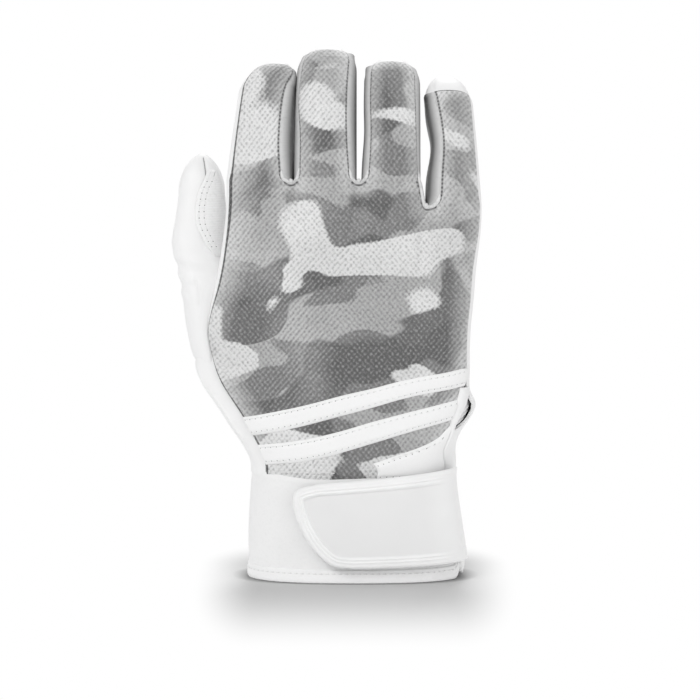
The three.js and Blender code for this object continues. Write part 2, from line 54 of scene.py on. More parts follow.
# All sizes are in millimetres until put() makes them metres, with the middle of the footprint at the origin
MM = 0.001
ORIGIN = np.array([-0.163, 2.053, 0.0])
PALM_WIDTH = 113
PALM_DEPTH = 44
CROTCH = 172
PANEL_WALL = 1.1
FINGER_DEPTHS = (23, 20)
CIRCLE = 2 * pi
FINGER_CURL = pi / 4
TIP_BEND, BASE_BEND = 2.6, 3.3
BEND_FADE = 24
WAIST_SPREAD, SWELL_SPREAD = 10, 30
# Depth of a seam's crease, its half width in columns, and the reach over which it deepens from the foot
SEAM_DIP, SEAM_COLUMNS, SEAM_START = 0.5, 1.1, 5
# The leather's two seams on the palm side, as a share of the half width
PALM_SEAM = 0.84
# Half widths of the crease before the cap and of the fold at a sidewall strip's end, and where across the
# strip that fold lies
TIP_SEAM_ROWS, FOLD_ROWS, FOLD_COLUMNS, FOLD_SHARE = 1.2, 1.9, 1.7, 0.35

# centre, width: at the base and at the tip, as shares of the palm width. dome: height of the rounded end.
# tip: how far over the dome the mesh reaches, in degrees. lean: how far the tip leans. back: share of the
# length, then the seams at the left and right of the mesh as shares of the half width. waist: how deep the
# side towards the thumb is drawn in, and at which reach. swell: how far the other side stands out. sides:
# the sidewall strips, with how far the folded end of each stands out
FINGERS = {
    "index": dict(
        centre=(-0.2575, -0.219), width=(0.2495, 0.2), base=172, length=53.8, dome=15, tip=52, lean=3.6,
        back=[[0, -0.9, 0.82], [0.02, -0.9, 0.71], [0.06, -0.9, 0.66], [0.3, -0.9, 0.57],
              [0.62, -0.89, 0.64], [0.86, -0.87, 0.9]],
        sides=dict(ulnar=0.8), waist=(0, 16), swell=0.95),
    "middle": dict(
        centre=(-0.0033, 0.003), width=(0.2358, 0.224), base=172, length=60.2, dome=12, tip=43, lean=0.6,
        back=[[0, -0.94, 0.92], [0.02, -0.87, 0.84], [0.06, -0.84, 0.8], [0.3, -0.84, 0.72],
              [0.57, -0.93, 0.72], [0.86, -0.84, 0.8]],
        sides=dict(ulnar=1.6, thumb=0.9), waist=(-0.95, 16), swell=0),
    "ring": dict(
        centre=(0.245, 0.252), width=(0.226, 0.212), base=172, length=54.8, dome=12, tip=38, lean=-0.8,
        back=[[0, -0.93, 0.94], [0.02, -0.85, 0.93], [0.06, -0.81, 0.93], [0.2, -0.79, 0.91],
              [0.55, -0.82, 0.87], [0.86, -0.8, 0.84]],
        sides=dict(ulnar=0.7, thumb=1.5), waist=(0.6, 20), swell=0),
    "little": dict(
        centre=(0.484, 0.463), width=(0.215, 0.176), base=161.5, length=58.4, dome=15, tip=12, lean=-1.2,
        back=[[0, -0.72, 0.925], [0.03, -0.57, 0.93], [0.12, -0.49, 0.93], [0.55, -0.47, 0.93],
              [0.8, -0.62, 0.93]],
        sides=dict(thumb=1.2), waist=(2.3, 24), swell=0),
}
# Columns round a finger: over the back, a side, the palm and the other side. Rows: up the straight part, on
# the dome as far as the mesh goes, and on from there to its top
BACK_CELLS, SIDE_CELLS, PALM_CELLS = 26, 9, 26
LEATHER_FROM = BACK_CELLS + SIDE_CELLS
LEATHER_TO = LEATHER_FROM + PALM_CELLS
STRAIGHT_ROWS, MESH_ROWS, CAP_ROWS = 38, 8, 12
MESH_TO = STRAIGHT_ROWS + MESH_ROWS - 1


def mix(a, b, t):
    """From a to b by a share."""
    return a + (b - a) * t


def smooth(t):
    """Eased step t^2 * (3 - 2t), held between 0 and 1."""
    t = np.clip(t, 0, 1)
    return t * t * (3 - 2 * t)


def above(value, start, over):
    """0 up to a start, growing to 1 over a stretch past it."""
    return smooth((value - start) / over)


def below(value, end, over):
    """1 until a stretch before an end, fading to 0 over it."""
    return smooth((end - value) / over)


def bell(away, spread):
    """exp(-(away / spread)^2): 1 at nothing, fading to either side."""
    return np.exp(-((away / spread) ** 2))


def power(value, exponent):
    """Power of a value's size, with its sign kept."""
    return np.sign(value) * np.abs(value) ** exponent


def through(rows, key):
    """Smooth curve through rows of a key and values: on each span a cubic whose end slopes are those of the
    chord between the rows on either side."""
    rows = np.asarray(rows, float)
    keys, values = rows[:, 0], rows[:, 1:]
    before = np.maximum(np.arange(len(keys)) - 1, 0)
    after = np.minimum(np.arange(len(keys)) + 1, len(keys) - 1)
    slopes = (values[after] - values[before]) / (keys[after] - keys[before])[:, None]
    held = np.clip(key, keys[0], keys[-1])
    k = np.clip(np.searchsorted(keys, held, side="right") - 1, 0, len(keys) - 2)
    step = keys[k + 1] - keys[k]
    t = ((held - keys[k]) / step)[..., None]
    rise = values[k + 1] - values[k]
    step = step[..., None]
    bow = t * (1 - t) * ((1 - t) * (slopes[k] * step - rise) - t * (slopes[k + 1] * step - rise))
    return np.moveaxis(values[k] + rise * t + bow, -1, 0)


def turn_at(share, bend):
    """Turn round a rounded oval x = half * cos^(2/bend) at which x is that share of the half width."""
    return np.arccos(np.clip(power(share, bend / 2), -1, 1))


def finger_skin(finger, angle, along, dome, offset):
    """Rounded ovals square to a centre line that bends evenly towards the palm, closed by a dome: the reach
    along the line grows with the sine of the dome's turn while the oval shrinks with its cosine."""
    reach = along + (finger["dome"] + offset) * np.sin(dome)
    share = np.clip(reach / finger["length"], 0, 1)
    bend = mix(BASE_BEND, TIP_BEND, smooth(reach / BEND_FADE))
    half = mix(*finger["width"], share) * PALM_WIDTH / 2 + offset
    depth = mix(*FINGER_DEPTHS, share) / 2 + offset
    radius = finger["length"] / FINGER_CURL
    turn = reach / radius
    out = depth * power(np.sin(angle), 2 / bend) * np.cos(dome)
    deep, at = finger["waist"]
    side = power(np.cos(angle), 2 / bend)
    drawn = deep * np.clip(-side, 0, 1) * bell(reach - at, WAIST_SPREAD if deep > 0 else SWELL_SPREAD)
    drawn = drawn + finger["swell"] * np.clip(side, 0, 1) * bell(reach - at, SWELL_SPREAD)
    middle = mix(*finger["centre"], share) * PALM_WIDTH + finger["lean"] * np.sin(dome)
    x = middle + half * side * np.cos(dome) + drawn
    y = radius * (1 - np.cos(turn)) + out * np.cos(turn)
    z = finger["base"] + radius * np.sin(turn) - out * np.sin(turn)
    return np.stack(np.broadcast_arrays(x, y, z), -1)


def columns_between(stops, cells):
    """Angles of the columns, evenly spread between each row's stops."""
    parts = [mix(stops[:, k, None], stops[:, k + 1, None], np.arange(n) / n) for k, n in enumerate(cells)]
    return np.concatenate(parts, 1)


def ring_crease(count, seams):
    """Bells at the seam columns of a closed ring of columns."""
    away = [np.abs(np.arange(count) - seam) for seam in seams]
    return sum(bell(np.minimum(gap, count - gap), SEAM_COLUMNS) for gap in away)


def finger_grid(finger, seams):
    """Grid round a finger: columns start at the back's left edge and run over the back, the side towards
    the little finger, the palm and the side towards the thumb. The seams' columns dip in a crease."""
    straight = finger["length"] - finger["dome"]
    tip = radians(finger["tip"])
    along = np.concatenate([np.linspace(0, straight, STRAIGHT_ROWS), np.full(MESH_ROWS + CAP_ROWS, straight)])
    dome = np.concatenate([np.zeros(STRAIGHT_ROWS), np.linspace(0, tip, MESH_ROWS + 1)[1:],
                           np.linspace(tip, pi / 2, CAP_ROWS + 1)[1:]])
    reach = along + finger["dome"] * np.sin(dome)
    bend = mix(BASE_BEND, TIP_BEND, smooth(reach / BEND_FADE))
    left, right = (turn_at(share, bend) for share in through(finger["back"], reach / finger["length"]))
    palm_right, palm_left = (turn_at(np.full_like(bend, share), bend) for share in (PALM_SEAM, -PALM_SEAM))
    stops = np.stack([CIRCLE - left, CIRCLE - right, CIRCLE + palm_right, CIRCLE + palm_left,
                      2 * CIRCLE - left], -1)
    angles = columns_between(stops, (BACK_CELLS, SIDE_CELLS, PALM_CELLS, SIDE_CELLS))
    count = angles.shape[1]
    past_mesh = np.arange(len(along)) - MESH_TO
    crease = ring_crease(count, seams)[None, :] * (past_mesh < 3)[:, None]
    crease = np.maximum(crease, bell(past_mesh, TIP_SEAM_ROWS)[:, None])
    offset = -SEAM_DIP * smooth(reach / SEAM_START)[:, None] * crease
    # The end of each sidewall strip is folded over and stands out beside the tip
    peak = bell(past_mesh + 1, FOLD_ROWS)[:, None]
    inset = FOLD_SHARE * SIDE_CELLS
    for side, middle in (("ulnar", BACK_CELLS + inset), ("thumb", count - inset)):
        offset += finger["sides"].get(side, 0) * peak * bell(np.arange(count) - middle, FOLD_COLUMNS)
    return finger_skin(finger, angles, along[:, None], dome[:, None], offset), reach


def normals(grid, wraps):
    """Unit normals of a grid, by central differences, turned away from the middle of each row. A row that
    has closed to a point takes its direction from the row before it."""
    if wraps:
        across = np.roll(grid, -1, 1) - np.roll(grid, 1, 1)
    else:
        across = np.gradient(grid, axis=1)
    normal = np.cross(across, np.gradient(grid, axis=0))
    length = np.linalg.norm(normal, axis=-1, keepdims=True)
    normal /= np.maximum(length, 1e-12)
    if length[-1].max() < 1e-3:
        normal[-1] = normal[-2].mean(0) / np.linalg.norm(normal[-2].mean(0))
    return normal


def behind(grid, wall, wraps=False):
    """The inner face of a sheet: the grid moved back along its normals by its wall."""
    return grid - normals(grid, wraps) * wall


def sheet(outer, inner, keep=None, wraps=False):
    """Closed shell of a grid's kept cells: outer quads, inner quads turned over, a wall on each open edge."""
    rows, cols = outer.shape[:2]
    ids = np.arange(rows * cols).reshape(rows, cols)
    here, right = (ids, np.roll(ids, -1, 1)) if wraps else (ids[:, :-1], ids[:, 1:])
    cells = np.stack([here[:-1], right[:-1], right[1:], here[1:]], -1)
    keep = np.ones(cells.shape[:2], bool) if keep is None else keep
    count = rows * cols
    faces = [cells[keep], cells[keep][:, ::-1] + count]
    framed = np.pad(keep, 1)
    if wraps:
        framed[1:-1, 0], framed[1:-1, -1] = keep[:, -1], keep[:, 0]
    beside = [framed[:-2, 1:-1], framed[1:-1, 2:], framed[2:, 1:-1], framed[1:-1, :-2]]
    for side, neighbour in enumerate(beside):
        edge = cells[keep & ~neighbour]
        a, b = edge[:, side], edge[:, (side + 1) % 4]
        faces.append(np.stack([b, a, a + count, b + count], -1))
    return np.concatenate([outer.reshape(-1, 3), inner.reshape(-1, 3)]), np.concatenate(faces)


SHARP_ANGLE = radians(50)


def put(name, shape, finish, body="hand", blend=None, nodes=(), maps=None):
    """Makes a mesh of points and quads, in metres and facing outwards, with its UV maps in metres. It rides
    on a body, or, given a blend, stays where it is and rides on none, and stands for the named nodes."""
    points, faces = shape
    used, renumbered = np.unique(faces, return_inverse=True)
    points = points[used]
    faces = renumbered.reshape(faces.shape)
    a, b, c, d = (points[faces[:, k]] for k in range(4))
    if (np.einsum("ij,ij->i", a, np.cross(b, c)) + np.einsum("ij,ij->i", a, np.cross(c, d))).sum() < 0:
        faces = faces[:, ::-1]
    mesh = bpy.data.meshes.new(name)
    mesh.from_pydata(((points + ORIGIN) * MM).tolist(), [], faces.tolist())
    corners = np.zeros(len(mesh.loops), int)
    mesh.loops.foreach_get("vertex_index", corners)
    for title, values in (maps or {}).items():
        layer = mesh.uv_layers.new(name=title)
        flat = values.reshape(-1, 2)
        flat = np.concatenate([flat, flat])[used] * MM
        layer.data.foreach_set("uv", flat[corners].ravel())
    work = bmesh.new()
    work.from_mesh(mesh)
    bmesh.ops.remove_doubles(work, verts=work.verts, dist=1e-6)
    bmesh.ops.dissolve_degenerate(work, edges=work.edges, dist=1e-7)
    work.to_mesh(mesh)
    work.free()
    mesh.shade_smooth()
    mesh.set_sharp_from_angle(angle=SHARP_ANGLE)
    mesh.materials.append(finish)
    piece = bpy.data.objects.new(name, mesh)
    bpy.context.scene.collection.objects.link(piece)
    if blend:
        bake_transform(piece)
    else:
        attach(piece, body)
    if nodes:
        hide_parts(*nodes)


def grey(level):
    """A level as red, green, blue and alpha."""
    return (level, level, level, 1)


class Wire:
    """A shader socket in sums: an operator on it adds its Math node, and node() adds any other node."""

    def __init__(self, tree, socket=None):
        self.tree, self.socket = tree, socket

    def node(self, kind, settings=None, inputs=None, output=0):
        """Adds a node with its settings and the values or links of its inputs. Gives one of its outputs."""
        made = self.tree.nodes.new(kind)
        for key, value in (settings or {}).items():
            setattr(made, key, value)
        for key, value in (inputs or {}).items():
            if isinstance(value, Wire):
                self.tree.links.new(value.socket, made.inputs[key])
            else:
                made.inputs[key].default_value = value
        return Wire(self.tree, made.outputs[output])

    def math(self, operation, *values):
        """A Math node on values or wires."""
        return self.node("ShaderNodeMath", {"operation": operation}, dict(enumerate(values)))

    def __add__(self, other):
        return self.math("ADD", self, other)

    def __sub__(self, other):
        return self.math("SUBTRACT", self, other)

    def __rsub__(self, other):
        return self.math("SUBTRACT", other, self)

    def __mul__(self, other):
        return self.math("MULTIPLY", self, other)

    __radd__, __rmul__ = __add__, __mul__

    def __truediv__(self, other):
        return self.math("DIVIDE", self, other)

    def held(self):
        """Kept between 0 and 1."""
        return self.math("MINIMUM", self.math("MAXIMUM", self, 0.0), 1.0)

    def waves(self, pitch_mm):
        """Sine of this length in metres, with a crest every so many millimetres."""
        return self.math("SINE", self * (CIRCLE / (pitch_mm * MM)))

    def part(self, axis):
        """One coordinate of this vector."""
        return self.node("ShaderNodeSeparateXYZ", None, {0: self}, axis)

    def place(self):
        """The piece's Object coordinates, in metres."""
        return self.node("ShaderNodeTexCoord", output=3)

    def noise(self, scale, detail=2.0, roughness=0.5):
        """Noise over the piece, from 0 to 1 with its middle at a half."""
        return self.node("ShaderNodeTexNoise", None,
                         {"Vector": self.place(), "Scale": scale, "Detail": detail, "Roughness": roughness})

    def grains(self, scale):
        """Distance from the middle of each of many small cells."""
        return self.node("ShaderNodeTexVoronoi", {"feature": "F1"}, {"Vector": self.place(), "Scale": scale})

    def tone(self, level):
        """A grey to start a colour from."""
        made = self.node("ShaderNodeRGB")
        made.socket.default_value = grey(level)
        return made

    def tint(self, level, share):
        """This colour turned into a grey by a share."""
        return self.node("ShaderNodeMix", {"data_type": "RGBA"}, {0: share, 6: self, 7: grey(level)}, 2)


SPECULAR = 0.35


def finish_of(name, level, roughness, sheen=0.0):
    """A Principled material with its wire, and a function that feeds its colour and bump height."""
    made = bpy.data.materials.new(name)
    made.use_nodes = True
    shader = made.node_tree.nodes["Principled BSDF"]
    for socket, value in (("Base Color", grey(level)), ("Roughness", roughness), ("Sheen Weight", sheen),
                          ("Specular IOR Level", SPECULAR)):
        shader.inputs[socket].default_value = value
    wire = Wire(made.node_tree)

    def feed(colour, height, depth, strength):
        """Links a colour, and a height that stands for bumps of a depth in millimetres."""
        bump = wire.node("ShaderNodeBump", None,
                         {"Height": height, "Distance": depth * MM, "Strength": strength})
        made.node_tree.links.new(colour.socket, shader.inputs["Base Color"])
        made.node_tree.links.new(bump.socket, shader.inputs["Normal"])

    return made, wire, feed


def uv_map(wire, title):
    """A UV map and its two coordinates, in metres."""
    place = wire.node("ShaderNodeUVMap", {"uv_map": title})
    return place, place.part(0), place.part(1)


# Printed mesh: width and height of a knitted cell, and the four greys of the camouflage
CELL_WIDTH, CELL_HEIGHT = 2.3, 2.7
DARK, ASH, SILVER, PALE = 0.1, 0.22, 0.43, 0.78
# Reach of the paler cloth beside a seam and beside the piping, pitch of the dots along a seam, and how far
# from the edge the seam's line and the piping end
SEAM_PALE, PIPING_PALE, DOT_PITCH, SEAM_LINE, PIPING_LINE = 8, 15, 1.5, 1.5, 2.2

printed_mesh, wire, feed = finish_of("printed_mesh", ASH, 0.75, sheen=0.7)
cloth, across, along = uv_map(wire, "cloth")
_, to_seam, to_piping = uv_map(wire, "edge")


def cloth_noise(scale, detail=1.0, roughness=0.5, distortion=0.0, place=cloth):
    """Flat noise over the cloth, from 0 to 1 with its middle at a half."""
    return wire.node("ShaderNodeTexNoise", {"noise_dimensions": "2D"},
                     {"Vector": place, "Scale": scale, "Detail": detail, "Roughness": roughness,
                      "Distortion": distortion})


yarn, pull, cloud = cloth_noise(800, 2.0, 0.6), cloth_noise(22), cloth_noise(26, 2.0)
u = across * (CIRCLE / (CELL_WIDTH * MM)) + pull * 7.0 + cloth_noise(300) * 1.6
v = along * (CIRCLE / (CELL_HEIGHT * MM)) + cloth_noise(380) * 1.2
rising, falling = wire.math("SINE", u + v), wire.math("SINE", u - v)
# The yarns that rise to the right stand out most where the cloth is pulled over the knuckles
slant = ((pull - 0.42) * 5.0).held()
knit = (rising * (slant * -0.07 + 0.16) + falling * (slant * 0.13 + 0.14) + (yarn - 0.5) * 1.25 + 0.5).held()


def blotch(scale, stretch, shift, low, soft=0.022, distortion=0.35):
    """Blobs wider than high: slightly distorted noise cut at a level, its edge broken up by the knit."""
    place = wire.node("ShaderNodeMapping", None,
                      {"Vector": cloth, "Location": shift, "Scale": (1, stretch, 1)})
    noise = cloth_noise(scale, 1.6, 0.45, distortion, place)
    return ((noise + (knit - 0.5) * 0.012 - low) / soft).held()


colour = wire.tone(ASH).tint(SILVER, blotch(24, 1.5, (0.19, 0.47, 0), 0.49))
colour = colour.tint(DARK, blotch(21, 1.7, (0.37, 0.11, 0), 0.535) * 0.85)
colour = colour.tint(PALE, blotch(19, 1.8, (0.71, 0.83, 0), 0.56))
colour = colour.tint(0.1, (0.62 - cloud).held() * 0.5)
colour = colour.tint(0.7, (cloud - 0.5).held() * 0.9)
# The cloth is paler towards its seams and piping: partly where it is stretched there, partly a painted sheen
# that lightens the edges of the fingers and the hand
stretch_and_painted_sheen = (1.0 - to_seam / (SEAM_PALE * MM)).held() * 0.6
stretch_and_painted_sheen = stretch_and_painted_sheen + (1.0 - to_piping / (PIPING_PALE * MM)).held() * 0.75
colour = colour.tint(0.75, stretch_and_painted_sheen.held())
colour = colour.tint(0.05, (0.54 - knit).held() * 0.8)
colour = colour.tint(0.88, (knit - 0.5).held() * 0.45)
# A dotted dark line where the cut edge shows in a finger seam, a solid one at the thumb's side and tips
dots = along.waves(DOT_PITCH) * 0.5 + 0.5
seam_line = ((SEAM_LINE * MM - to_seam) / (0.4 * MM)).held() * ((to_seam - 0.15 * MM) / (0.3 * MM)).held()
seam_line = seam_line * (dots * 0.5 + 0.5)
piping_line = ((PIPING_LINE * MM - to_piping) / (0.3 * MM)).held()
colour = colour.tint(0.04, seam_line * 0.95)
colour = colour.tint(0.02, piping_line * 0.92)
feed(colour, knit, depth=0.5, strength=0.85)


def gone_along(grid, axis=0):
    """Length gone from the start to each point of a path, or along an axis of a grid."""
    steps = np.linalg.norm(np.diff(grid, axis=axis), axis=-1)
    return np.concatenate([0 * np.take(steps, [0], axis), np.cumsum(steps, axis)], axis)


# Further from an edge than any of its effects reach
FAR = 50.0


def beside(grid, from_left=True, from_right=True):
    """Distance of each point of a grid from its left or right edge, along its row."""
    left = gone_along(grid, 1)
    right = left[:, -1:] - left
    far = np.full_like(left, FAR)
    return np.minimum(left if from_left else far, right if from_right else far)


FLEX_FADE = 15
# Added to the distance from an edge that has no piping, which still pales the cloth beside it
BEYOND_PIPING = 3
# The line at the mesh's end is finer than the piping by this
END_LINE = 2.4
grids = {}
for name, finger in FINGERS.items():
    sides = finger["sides"]
    seams = [0, BACK_CELLS] + [LEATHER_FROM] * ("ulnar" in sides) + [LEATHER_TO] * ("thumb" in sides)
    grid, reach = finger_grid(finger, seams)
    inner = behind(grid, PANEL_WALL, wraps=True)
    centre_x = finger["centre"][0] * PALM_WIDTH
    bends = (name, (centre_x, 0, finger["base"]), (centre_x, 0, finger["base"] + FLEX_FADE))
    rows, cols = grid.shape[:2]
    row_at, col_at = np.mgrid[0:rows - 1, 0:cols]
    below_cap = row_at < MESH_TO
    owners = np.full(col_at.shape, "palm", dtype=object)
    owners[col_at < BACK_CELLS] = "back"
    if "ulnar" in sides:
        owners[(col_at >= BACK_CELLS) & (col_at < LEATHER_FROM)] = "ulnar"
    if "thumb" in sides:
        owners[col_at >= LEATHER_TO] = "thumb"
    owners[~below_cap] = "palm"
    grids[name] = dict(grid=grid, inner=inner, owners=owners, bends=bends)
    back = grid[:, :BACK_CELLS + 1]
    length_at = np.broadcast_to(finger["base"] + reach[:, None], back.shape[:2])
    # The mesh lies in its own width, so that its print runs on from the back of the hand without a stretch
    print_map = np.stack([back[..., 0], length_at], -1)
    seam_gap = beside(back, from_left="thumb" in sides, from_right="ulnar" in sides)
    # The dark piping runs up the index finger, and the mesh's end shows as a fine dark line at the others
    if name == "index":
        piping_gap = beside(back, from_right=False)
    else:
        edge_gap = beside(back, from_left=False) + BEYOND_PIPING if name == "little" else FAR
        piping_gap = np.minimum(edge_gap, (length_at[MESH_TO] - length_at) * END_LINE)
    shape = sheet(back, inner[:, :BACK_CELLS + 1], below_cap[:, :BACK_CELLS])
    put(f"{name}_mesh", shape, printed_mesh, blend=bends, nodes=[f"{name}_back"],
        maps={"cloth": print_map, "edge": np.stack([seam_gap, piping_gap], -1)})


# Back panel
# The back of the hand is one piece of the same mesh, from the slits between the fingers down to the cuff.
# It is pulled over the knuckles, and a slit at the little finger's side lets the wrist open.

CUFF_TOP = 46
HAND_BEND = 2.5
HAND_ROWS = 104
# The panels start this high, tucked in behind the cuff's edge
PANEL_FOOT, TUCK = 43.4, 1.3
GAP_CELLS = 10
KNUCKLE_FADE = 34
# How low a slit's floor dips, how fast it drops beside the higher finger, how far it rolls in, as a share
# of its place in depth, and the width of its rim
SLIT_DIP, SLIT_DROP, SLIT_ROLL, FLOOR_RIM = 0.7, 2.2, 0.12, 0.2
VENT_TURN, VENT_SEAM = radians(20), radians(12)
VENT_SHARE = 0.34
# Low down the mesh's edge comes back to meet the leather
VENT_CLOSING, VENT_CLOSED = radians(14), (57, 10)

# Height as a share of the crotch height, left and right of the palm width, back and palm of its depth
HAND_SHARES = np.array([
    [0, -0.296, 0.513, 0.568, 0.568],
    [0.116, -0.296, 0.487, 0.568, 0.568],
    [0.256, -0.286, 0.458, 0.534, 0.545],
    [0.302, -0.288, 0.47, 0.511, 0.534],
    [0.407, -0.35, 0.525, 0.443, 0.523],
    [0.494, -0.42, 0.547, 0.4, 0.523],
    [0.581, -0.451, 0.549, 0.375, 0.511],
    [0.628, -0.458, 0.552, 0.36, 0.5],
    [0.703, -0.438, 0.563, 0.34, 0.455],
    [0.82, -0.404, 0.575, 0.307, 0.364],
    [0.959, -0.384, 0.59, 0.268, 0.28],
    [1, -0.382, 0.592, 0.261, 0.261],
])


def hand_oval(z):
    """Middle and half width, depth of the back and of the palm at a height."""
    left, right, back, palm = through(HAND_SHARES, np.asarray(z) / CROTCH)
    middle, half = (left + right) / 2 * PALM_WIDTH, (right - left) / 2 * PALM_WIDTH
    return middle, half, back * PALM_DEPTH, palm * PALM_DEPTH


# Slack of the cloth: how high each kind of fold stands, then the heights past which it grows and at which
# it is gone, each with the stretch that this takes
FAN, FAN_FROM, FAN_TO = 0.35, (95, 40), (168, 25)
SLANT, SLANT_FROM, SLANT_TO = 0.3, (52, 10), (120, 30)
CREASE, CREASE_FROM, CREASE_TO = 0.5, (85, 30), (165, 20)
SHIRRING, SHIRRING_AT, SHIRRING_SPREAD = 0.75, 58, 9
TUCKED_TO = (45.2, 1.5)


def ripple(angle, z):
    """Slack of the cloth: low folds that fan down from the slits, slanting ones at the wrist, and in the
    palm the gathers of the shirred elastic and soft creases. All are sines of the turn and the height."""
    back = np.clip(-np.sin(angle), 0, 1)
    fan = FAN * np.sin(9 * angle + 0.05 * z) * above(z, *FAN_FROM) * below(z, *FAN_TO) * back
    slant = SLANT * np.sin(0.21 * z + 5 * angle) * below(z, *SLANT_TO) * above(z, *SLANT_FROM) * back
    palm = smooth(np.sin(angle) * 1.6)
    gather = SHIRRING * np.sin(62 * angle + 0.6 * np.sin(0.3 * z)) * bell(z - SHIRRING_AT, SHIRRING_SPREAD)
    crease = CREASE * np.sin(0.16 * z - 3.2 * np.cos(angle)) * above(z, *CREASE_FROM) * below(z, *CREASE_TO)
    return fan + slant + gather * palm + crease * palm - TUCK * below(z, *TUCKED_TO)


def hand_skin(angle, z, offset=0.0, cloth=1.0):
    """Rounded oval at each height: x = middle + half * cos^(2/n), y = depth * sin^(2/n), lifted by the
    cloth's ripples. Angle 0 is the little finger's side and a quarter turn the palm."""
    angle, z, offset = np.broadcast_arrays(angle, z, offset)
    middle, half, back, palm = hand_oval(z)
    lift = offset + cloth * ripple(angle, z)
    depth = np.where(np.sin(angle) < 0, back, palm)
    x = middle + (half + lift) * power(np.cos(angle), 2 / HAND_BEND)
    y = (depth + lift) * power(np.sin(angle), 2 / HAND_BEND)
    return np.stack([x, y, z + 0.0 * x], -1)


# Height, then degrees from the hand's outline to the back panel's edge
SEAM_TURNS = [[44, 33], [51, 32], [64, 25.4], [80, 17], [94, 7], [104, 4.5], [115, 6], [127, 12],
              [145, 12], [172, 11]]


def thumb_seam(z):
    """Angle of the back panel's edge by the thumb: at the outline above, further onto the back below."""
    return pi + np.radians(through(SEAM_TURNS, np.asarray(z, float))[0])


def vent_opening(z):
    """Turn by which the slit draws the back panel's edge back, from nothing at VENT_SHARE of the way up."""
    share = np.maximum(np.asarray(z) - CUFF_TOP, 0) / (CROTCH - CUFF_TOP)
    return VENT_TURN * np.maximum(0, 1 - share / VENT_SHARE) ** 0.7 - VENT_CLOSING * below(z, *VENT_CLOSED)


def vent_edge(z):
    """Angle of the back panel's edge at the little finger's side."""
    return CIRCLE - VENT_SEAM - vent_opening(z)


# The leather's gape at the slit, and the gathers that reach into it: turn, height and spread
GAPE, GAPE_AT, GAPE_SPREAD = radians(5), 72, 6.5
GATHER, GATHER_AT, GATHER_SPREAD = radians(3.6), 72.5, 5
GATHER_PITCH, GATHER_START = 3.6, 70.3


def leather_turn(z):
    """Turn of the leather's edge at the slit: it gapes half way up, its gathers reach in, and low down it
    comes forward to the mesh."""
    gape = GAPE * bell(z - GAPE_AT, GAPE_SPREAD)
    waves = 0.5 + 0.5 * np.cos((z - GATHER_START) * CIRCLE / GATHER_PITCH)
    gathers = GATHER * waves * bell(z - GATHER_AT, GATHER_SPREAD)
    return gape - gathers - vent_opening(z) * below(z, 70, 9)


# Height, then how far the leather of the heel of the hand stands out below the thumb
HEEL_RISE = [[43, 0.6], [50, 1], [57, 2.2], [66, 4.8], [76, 6.2], [85, 7.2], [92, 7.6], [100, 5],
             [108, 2], [116, 0]]


# How far the leather stands out beside the slit's mouth and at its foot, at which height, over which spread
MOUTH_RISE, MOUTH_AT, MOUTH_SPREAD, MOUTH_SPREAD_DOWN = 4.3, 74, 5.5, 9
FOOT_RISE, FOOT_AT, FOOT_SPREAD = 4.0, 47, 9


def blouse(angle, z):
    """How far the leather stands out beside the slit, most at its mouth and again where it meets the cuff,
    and at the heel of the hand."""
    turn = (np.asarray(angle) + pi) % CIRCLE - pi
    mouth = MOUTH_RISE * bell(z - MOUTH_AT, np.where(z > MOUTH_AT, MOUTH_SPREAD, MOUTH_SPREAD_DOWN))
    foot = FOOT_RISE * bell(z - FOOT_AT, FOOT_SPREAD)
    mouth = mouth * smooth((turn + radians(26)) / radians(12))
    foot = foot * smooth((turn + radians(20)) / radians(14))
    heel = through(HEEL_RISE, np.asarray(z, float))[0] * smooth((thumb_seam(z) - angle) / radians(10))
    heel = heel * smooth((angle - radians(95)) / radians(60))
    return (mouth + foot) * smooth((radians(60) - turn) / 0.8) + heel


def top_edge(names, pick):
    """The hand's top edge: each finger's foot between its seams, joined by a U across each slit."""
    line = []
    for k, name in enumerate(names):
        foot = grids[name]["grid"][0][pick(name)]
        if line:
            a, b = line[-1][-1], foot[0]
            t = np.linspace(0, 1, GAP_CELLS + 1)[1:-1, None]
            u = np.sin(pi * t) ** 0.6
            fall = smooth(t * SLIT_DROP) if a[2] > b[2] else 1 - smooth((1 - t) * SLIT_DROP)
            gap = mix(a, b, t)
            gap[:, 2:] = mix(a[2], b[2], fall) - SLIT_DIP * u
            gap[:, 1:2] *= 1 - SLIT_ROLL * u
            line.append(gap)
        line.append(foot)
    return np.concatenate(line)


ROW_CROWDING = 1.15


def panel(top, angle_at, stand_out=lambda angle, z: 0.0):
    """Grid between the panels' foot and a top edge, creased along the seams at both sides. Low down it is
    the hand's skin, standing out by a function of its place; over the last stretch it turns into the
    knuckles by taking on the place of its top edge."""
    share = np.linspace(0, 1, HAND_ROWS)[:, None] ** (1 / ROW_CROWDING)
    z = mix(PANEL_FOOT, top[None, :, 2], share)
    angle = angle_at(z)
    weight = smooth((z - top[None, :, 2] + KNUCKLE_FADE) / KNUCKLE_FADE) ** 1.3
    cols = np.arange(len(top))
    crease = bell(np.minimum(cols, cols[::-1]), SEAM_COLUMNS)[None, :] * (1 - weight)
    grid = hand_skin(angle, z, (1 - weight) * stand_out(angle, z) - SEAM_DIP * crease, cloth=1 - weight)
    grid[..., :2] = mix(grid[..., :2], top[None, :, :2], weight[..., None])
    return grid


def hand_angle(top):
    """Angle on the hand's skin, at the crotch line, of each point of a top edge."""
    middle, half = (float(v) for v in hand_oval(CROTCH)[:2])
    turn = turn_at((top[:, 0] - middle) / half, HAND_BEND)
    return np.where(top[:, 1] < 0, CIRCLE - turn, turn)


back_top = top_edge(list(FINGERS), lambda name: slice(0, BACK_CELLS + 1))
back_turns = hand_angle(back_top)
back_share = (back_turns - back_turns[0]) / (back_turns[-1] - back_turns[0])


def on_back(share, z):
    """Angle on the back panel at a share of the way from the thumb's seam to the slit."""
    return mix(thumb_seam(z), vent_edge(z), share)


